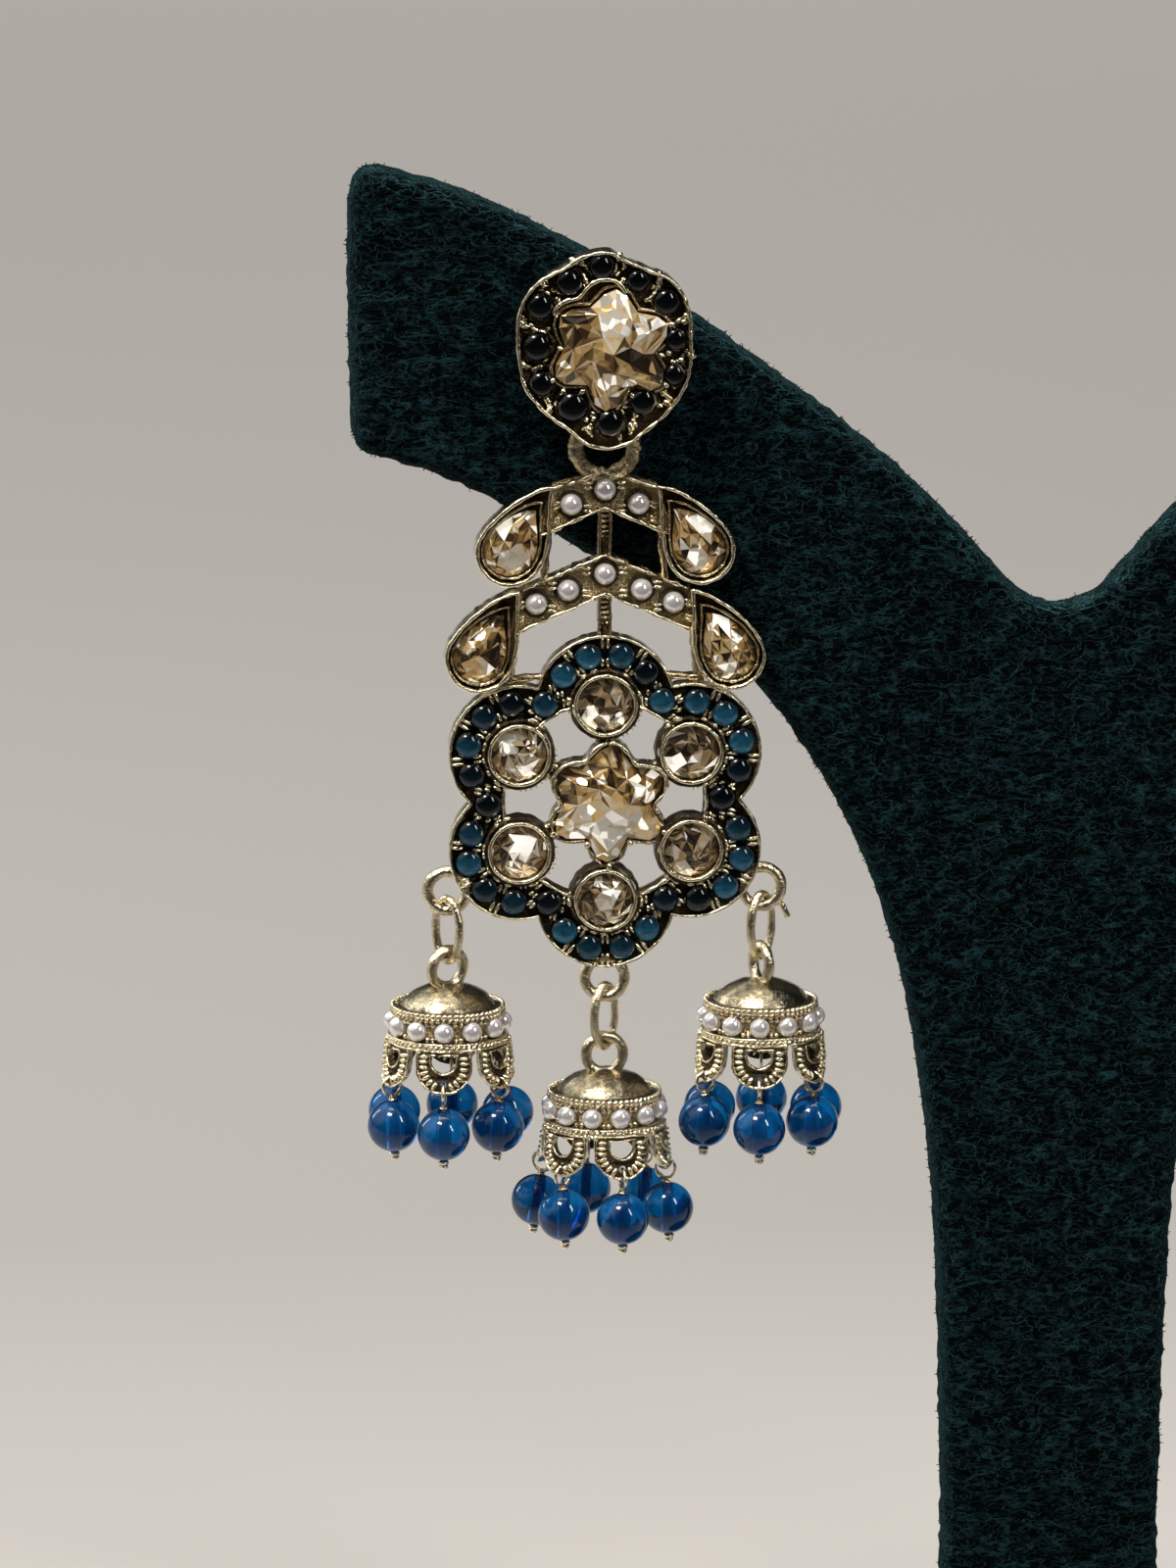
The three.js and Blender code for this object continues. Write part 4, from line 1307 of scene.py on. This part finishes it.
# Each bell: where its side ring stands, and the turns of its own ring, its link, itself and its beads.
BELLS = {
    "left": {"at": 240, "ring": 30, "link": -50, "turn": -7, "swing": [2, -3, 5, 0, 3, -2]},
    "centre": {"at": 180, "ring": 0, "link": 50, "turn": 13, "swing": [0, 3, -2, 4, 8, -3]},
    "right": {"at": 120, "ring": -70, "link": 48, "turn": -6, "swing": [3, -2, 2, 4, -3, 2]},
}
HANG_GAP = 6.2  # from a side ring down to its bell's ring
PIN_HOLE = (4.88, -8.15)  # distance from the bell's axis, and level
BEAD_DROP = 3.98  # from a pin's hole down to its bead's middle
SKIRT_TOP, SKIRT_LOW = -5.5, -8.9
BELL_PEARL = 0.81
# Half the bell's section as (radius, level), down the outside and up the inside.
CAP_PROFILE = (
    (0.0, -1.13), (0.5, -1.15), (1.0, -1.21), (1.55, -1.33), (2.1, -1.52), (2.6, -1.76),
    (3.05, -2.06), (3.45, -2.42), (3.72, -2.78), (4.15, -2.86), (4.38, -2.95), (4.38, -3.28),
    (4.1, -3.34), (4.0, -3.42), (4.0, -5.0), (4.4, -5.05), (4.6, -5.15), (4.62, -5.55),
    (4.3, -5.65), (3.9, -5.5), (3.72, -5.05), (3.65, -3.75), (3.2, -3.32), (2.0, -2.6),
    (0.0, -2.05),
)


def on_bell(radius, turn, level):
    """A point at a turn, in radians, from the front of a bell."""
    return radius * math.sin(turn), -radius * math.cos(turn), level


def even_turns(count):
    return [Matrix.Rotation(TAU * i / count, 4, "Z") for i in range(count)]


def rope_of(radius, level, wire, strands, finish):
    """A twisted wire ring: slanted grains set close round a circle."""
    size = sized(wire, math.pi * radius / strands * 1.35, wire * 1.1)
    place = moved(radius, 0, level) @ turned(38, "X") @ size
    strand = ball_of("strand", 1.0, finish, (8, 5))
    return copies("rope", strand, [turn @ place for turn in even_turns(strands)])


def wrapped(piece):
    """Bends a bench piece, drawn below level 0, round the bell's cone."""
    top, top_radius, low_radius, mean_radius = -5.6, 4.35, 4.72, 4.7
    for vertex in piece.data.vertices:
        across, level, height = vertex.co
        share = (top - level) / (top - SKIRT_LOW)
        radius = top_radius + (low_radius - top_radius) * share
        vertex.co = on_bell(radius + height, across / mean_radius, level)
    return piece


def scallop_line(half, top, low):
    """Two upright sides joined below by a half circle."""
    straight, steps = low + half, 14
    line = [(-half, top), (-half, straight)]
    for i in range(1, steps):
        angle = math.pi + math.pi * i / steps
        line.append((half * math.cos(angle), straight + half * math.sin(angle)))
    return line + [(half, straight), (half, top)]


def make_scallop():
    """One scallop of the skirt: a band of squared grains round an opening, and its bead's hole."""
    outline = dense(scallop_line(2.14, SKIRT_TOP, SKIRT_LOW))
    opening, hole = scallop_line(1.02, -5.85, -7.35), circle_line(0.3, (0, PIN_HOLE[1]), 12)
    lip = scallop_line(2.08, SKIRT_TOP, SKIRT_LOW + 0.06)
    band = dense(scallop_line(1.56, SKIRT_TOP - 0.3, SKIRT_LOW + 0.5), 0.05)
    blocks, walked, count = [], 0.0, 0
    for (xa, ya), (xb, yb) in zip(band, band[1:]):
        walked += math.dist((xa, ya), (xb, yb))
        if walked > 0.16 + 0.43 * count:
            count += 1
            if abs(xb) > 0.45:
                turn = math.degrees(math.atan2(xb - xa, yb - ya))
                blocks.append((xb, yb, 0.28, 0.44, 0.215, turn))
    blocks += [(side * 2.05, SKIRT_TOP - 0.1, 0.4, 0.26, 0.26, 0) for side in (-1, 1)]
    parts = [
        sheet_of("plate", [outline, opening, hole], 0.0, 0.34, DARK_GOLD, 0.05),
        wall_of("scallop_lip", lip, 0.05, 0.6, 0.10, BRIGHT_GOLD, False),
        wall_of("opening_lip", opening, 0.05, 0.52, 0.07, BRIGHT_GOLD),
        grains_of("band", blocks),
    ]
    scallop = joined("scallop", parts)
    all_in_edit_mode(scallop)
    bpy.ops.mesh.quads_convert_to_tris()
    bpy.ops.object.mode_set(mode="OBJECT")
    return wrapped(scallop)


def make_bell_pattern():
    drum_section = [(4.06, -3.4), (4.06, -5.02), (3.9, -5.02), (3.9, -3.4), (4.06, -3.4)]
    dots = [
        (*on_bell(4.2, TAU * (i + 0.5) / 12 + side * 0.052, level), 0.21)
        for i in range(12)
        for level in (-3.62, -4.82)
        for side in (-1, 1)
    ]
    parts = [
        uneven_cast(turned_of("cap", CAP_PROFILE, 64, CAP_GOLD, 32), 0.05, 1.1),
        turned_of("drum", drum_section, 48, OLIVE_FLOOR),
        rope_of(4.36, -2.93, 0.15, 60, BRIGHT_GOLD),
        rope_of(4.40, -3.24, 0.14, 60, AGED_GOLD),
        ring_of("wire", 4.62, 0.10, BRIGHT_GOLD, (0, 0, -5.12), steps=(64, 6)),
        rope_of(4.68, -5.36, 0.12, 66, BRIGHT_GOLD),
        ring_of("wire", 4.66, 0.10, BRIGHT_GOLD, (0, 0, -5.60), steps=(64, 6)),
        grains_of("dots", dots),
        copies("skirt", make_scallop(), even_turns(6)),
    ]
    return joined("bell", parts)


def make_bell_pearls():
    places = [on_bell(4.28, TAU * i / 12, -4.2) for i in range(12)]
    return pearls_of("bell_pearls", places, BELL_PEARL)


def make_link(name):
    """An oval jump link, longer than wide, standing in the XZ plane."""
    radius, wide, long = 1.45, 1.36, 2.45
    ring = ring_of(name, radius, 0.35, LINK_GOLD, (0, 0, 0), (math.pi / 2, 0, 0), (48, 12))
    for vertex in ring.data.vertices:
        way = Vector((vertex.co.x, 0, vertex.co.z)).normalized()
        vertex.co += Vector((way.x * (wide - radius), 0, way.z * (long - radius)))
    return ring


def make_bead_pattern():
    bore, radius = 0.42, 2.05
    start = math.asin(bore / radius)
    angles = [start + (math.pi - 2 * start) * k / 18 for k in range(19)]
    outside = [(radius * math.sin(angle), radius * math.cos(angle)) for angle in angles]
    return turned_of("bead", outside + outside[:1], 32, BEAD_GLASS, 60)


def make_pin_pattern():
    """A head pin: a flat head, a stem through the bead and a turned eye above it."""
    wire, eye = 0.14, 0.78
    top = BEAD_DROP - 2 * eye
    section = [
        (0, -2.72), (0.3, -2.7), (0.36, -2.6), (0.36, -2.45), (0.3, -2.4), (0.42, -2.3),
        (0.44, -2.2), (0.3, -2.08), (0.16, -2.04), (wire, -1.9), (wire, top - 0.05), (0, top),
    ]
    parts = [
        turned_of("stem", section, 12, BRIGHT_GOLD, 60),
        ring_of("eye", eye, wire, BRIGHT_GOLD, (0, 0, BEAD_DROP - eye), (0, math.pi / 2, 0), (28, 8)),
        ring_of("wrap", 0.22, 0.11, AGED_GOLD, (0, 0, 2.12), (0.2, 0, 0), (16, 8)),
    ]
    return joined("pin", parts)


def make_bells():
    bell, pearls = make_bell_pattern(), make_bell_pearls()
    bead, pin = make_bead_pattern(), make_pin_pattern()
    flower = Vector((EARRING_X, 0, STUD_CENTRE.z + FLOWER_ON_BENCH[1]))
    for name, plan in BELLS.items():
        x, z = around(RING_REACH, plan["at"])
        hung = flower + Vector((x, PIVOT.y, z - HANG_GAP))
        at_bell, at_link = moved(*hung), moved(hung.x, hung.y, hung.z + HANG_GAP / 2)
        ring_turn = (math.pi / 2, 0, math.radians(plan["ring"]))
        ring = ring_of("bell_ring", 1.45, 0.44, LINK_GOLD, (0, 0, 0), ring_turn)
        cast = joined(f"bell_{name}_cast", [copy_of(bell, "body", turned(plan["turn"])), ring])
        stand_up(cast, at_bell, "drop", "antique_gold", f"bell_{name}")
        row = copy_of(pearls, f"bell_{name}_pearls", turned(plan["turn"]))
        stand_up(row, at_bell, "drop", "pearl")
        link = make_link(f"link_{name}_wire")
        link.data.transform(turned(plan["link"]))
        stand_up(link, at_link, "drop", "antique_gold", f"link_{name}")
        for i, swing in enumerate(plan["swing"]):
            hook = turned(plan["turn"] + 60 * i) @ moved(0, -PIN_HOLE[0], PIN_HOLE[1])
            place = hook @ turned(-swing, "X") @ moved(0, 0, -BEAD_DROP)
            glass, wire = f"bead_{name}_{i + 1}", f"pin_{name}_{i + 1}"
            stand_up(copy_of(bead, glass + "_glass", place), at_bell, "drop", "blue_glass", glass)
            stand_up(copy_of(pin, wire + "_wire", place), at_bell, "drop", "antique_gold", wire)
    for pattern in (bell, pearls, bead, pin):
        bpy.data.objects.remove(pattern)


# ---------------- clutch


def make_clutch():
    section = [
        (0.5, 0.0), (2.1, 0.0), (2.3, 0.12), (2.3, 0.8), (2.1, 1.0), (1.5, 1.25), (1.38, 1.6),
        (1.38, 3.0), (1.2, 3.45), (0.8, 3.6), (0.5, 3.6), (0.5, 0.0),
    ]
    place = moved(EARRING_X, BOARD_BACK + 0.3, STUD_CENTRE.z) @ turned(-90, "X")
    clutch = turned_of("clutch_turned", section, 40, BRIGHT_GOLD)
    stand_up(clutch, place, "stand", "antique_gold", "clutch")


# ---------------- stand

CREASE_DEPTH = 0.28
SOFT_EDGE = 1.6
NAP_COUNT, NAP_SEED = 4200, 5
BOARD_CELL, BASE_CELL = 0.00037, 0.00045  # metres
# The board's half outline from the middle outwards, level with the stud: its upper edge, the
# end of its arm and its lower edge down into the trunk.
BOARD_TOP = (
    (0, -20.7), (2.0, -20.2), (3.9, -18.8), (8.8, -13.4), (15.0, -7.6), (21.5, -2.6),
    (29.0, 2.8), (38.3, 8.4), (45.5, 12.0), (52.8, 14.4),
)
BOARD_END = ((54.3, 14.35), (55.2, 13.5), (55.55, 12.0), (55.6, 3.0), (55.4, -6.0), (54.9, -7.4))
BOARD_LOW = (
    (53.4, -8.1), (46.8, -10.3), (38.7, -14.9), (30.5, -20.4), (23.5, -26.8), (16.5, -37.7),
    (12.2, -50.0), (9.9, -64.0), (9.1, -75.0), (8.6, -92.0),
)


def board_line():
    level = STUD_CENTRE.z - 1.35
    half = [*flowing(BOARD_TOP, 90), *BOARD_END, *flowing(BOARD_LOW, 120), (8.5, 3.4 - level)]
    half = [(x, y + level) for x, y in half]
    return dense(half + [(-x, y) for x, y in reversed(half[1:])] + [half[0]], 1.2)[:-1]


def creased(piece, depth):
    """Fine wavy creases in cloth, lengths in metres; 'ridge' keeps how high each point stands, which the
    suede paints lighter as painted light on crease tops.
    """
    ways = [vertex.normal.copy() for vertex in piece.data.vertices]
    heights = []
    for vertex, way in zip(piece.data.vertices, ways):
        at = vertex.co / MM
        bend = noise.noise(at / 2.4) * 1.2
        fine = noise.noise(Vector((at.x / 1.5 + bend, at.y / 1.2, at.z / 0.9 + bend)))
        knots = noise.noise(at / 0.85)
        high = min(1.0, max(0.0, 0.5 + 0.7 * fine + 0.35 * knots))
        heights.append(high)
        vertex.co += way * depth * (high - 0.5) * MM
    return marked(piece, "ridge", heights)


def clothed(piece, turn, cell):
    """Covers a solid with creased suede, whose mesh is made even, with cells of a size in metres."""
    piece.data.transform(Matrix.Scale(MM, 4) @ turn)
    pick_up(coat(piece, SUEDE))
    even = piece.modifiers.new("even", "REMESH")
    even.mode, even.voxel_size, even.use_smooth_shade = "VOXEL", cell, True
    bpy.ops.object.modifier_apply(modifier="even")
    return creased(piece, CREASE_DEPTH)


def clear_of_drop(vertex):
    """False on the front of the cloth behind the drop, which swings close to it."""
    not_in_front = vertex.normal.y > -0.5
    aside = abs(vertex.co.x / MM - EARRING_X) > 17
    above = vertex.co.z / MM > STUD_CENTRE.z - 7
    return not_in_front or aside or above


def nap_of(piece):
    """Short stray fibres that stand up from cloth, where there is room for them."""
    chance = random.Random(NAP_SEED)
    put_down()
    bpy.ops.mesh.primitive_cone_add(vertices=4, radius1=0.06, radius2=0.015, depth=1.0)
    fibre = coat(settle(bpy.context.object), SUEDE)
    fibre.name = "fibre"
    fibre.data.transform(moved(0, 0, 0.4))
    places = []
    for vertex in chance.sample([v for v in piece.data.vertices if clear_of_drop(v)], NAP_COUNT):
        lean = Vector([chance.uniform(-0.6, 0.6) for _ in range(3)])
        way = (vertex.normal + lean).normalized().to_track_quat("Z", "Y").to_matrix().to_4x4()
        long = chance.uniform(0.16, 0.36)
        places.append(Matrix.Translation(vertex.co / MM) @ way @ sized(1, 1, long))
    nap = copies(piece.name + "_nap", fibre, places)
    nap.data.transform(Matrix.Scale(MM, 4))
    # The fibres are painted a little lighter than the middle, as painted light on the nap.
    return marked(nap, "ridge", [0.6] * len(nap.data.vertices))


def make_board():
    thick = BOARD_BACK - BOARD_FRONT
    board = slab_of("stand_board_cloth", [board_line()], thick, SOFT_EDGE, 4, 0.01)
    board = clothed(board, UPRIGHT, BOARD_CELL)
    finish_piece(nap_of(board), "stand", "suede")
    finish_piece(board, "stand", "suede", "stand_board")


def make_base():
    low, high = reach("stand_base")
    radius, thick = (high.x - low.x) / 2, high.z - low.z
    inner = radius - SOFT_EDGE
    quarter = [math.pi / 2 * k / 5 for k in range(6)]
    arc = [(SOFT_EDGE * math.sin(a), SOFT_EDGE * math.cos(a)) for a in quarter]
    section = [(0.0, 0.0), (inner, 0.0)]
    section += [(inner + sine, SOFT_EDGE - cosine) for sine, cosine in arc[1:]]
    section += [(inner + cosine, thick - SOFT_EDGE + sine) for sine, cosine in arc]
    section += [(radius * 0.7, thick), (radius * 0.35, thick), (0.0, thick)]
    base = turned_of("stand_base_cloth", section, 96, SUEDE)
    finish_piece(clothed(base, Matrix(), BASE_CELL), "stand", "suede", "stand_base")


# ---------------- assembly

make_camera()
make_studio()
make_floor()
make_board()
make_base()
make_stud()
make_stud_stones()
make_drop()
make_bells()
make_clutch()
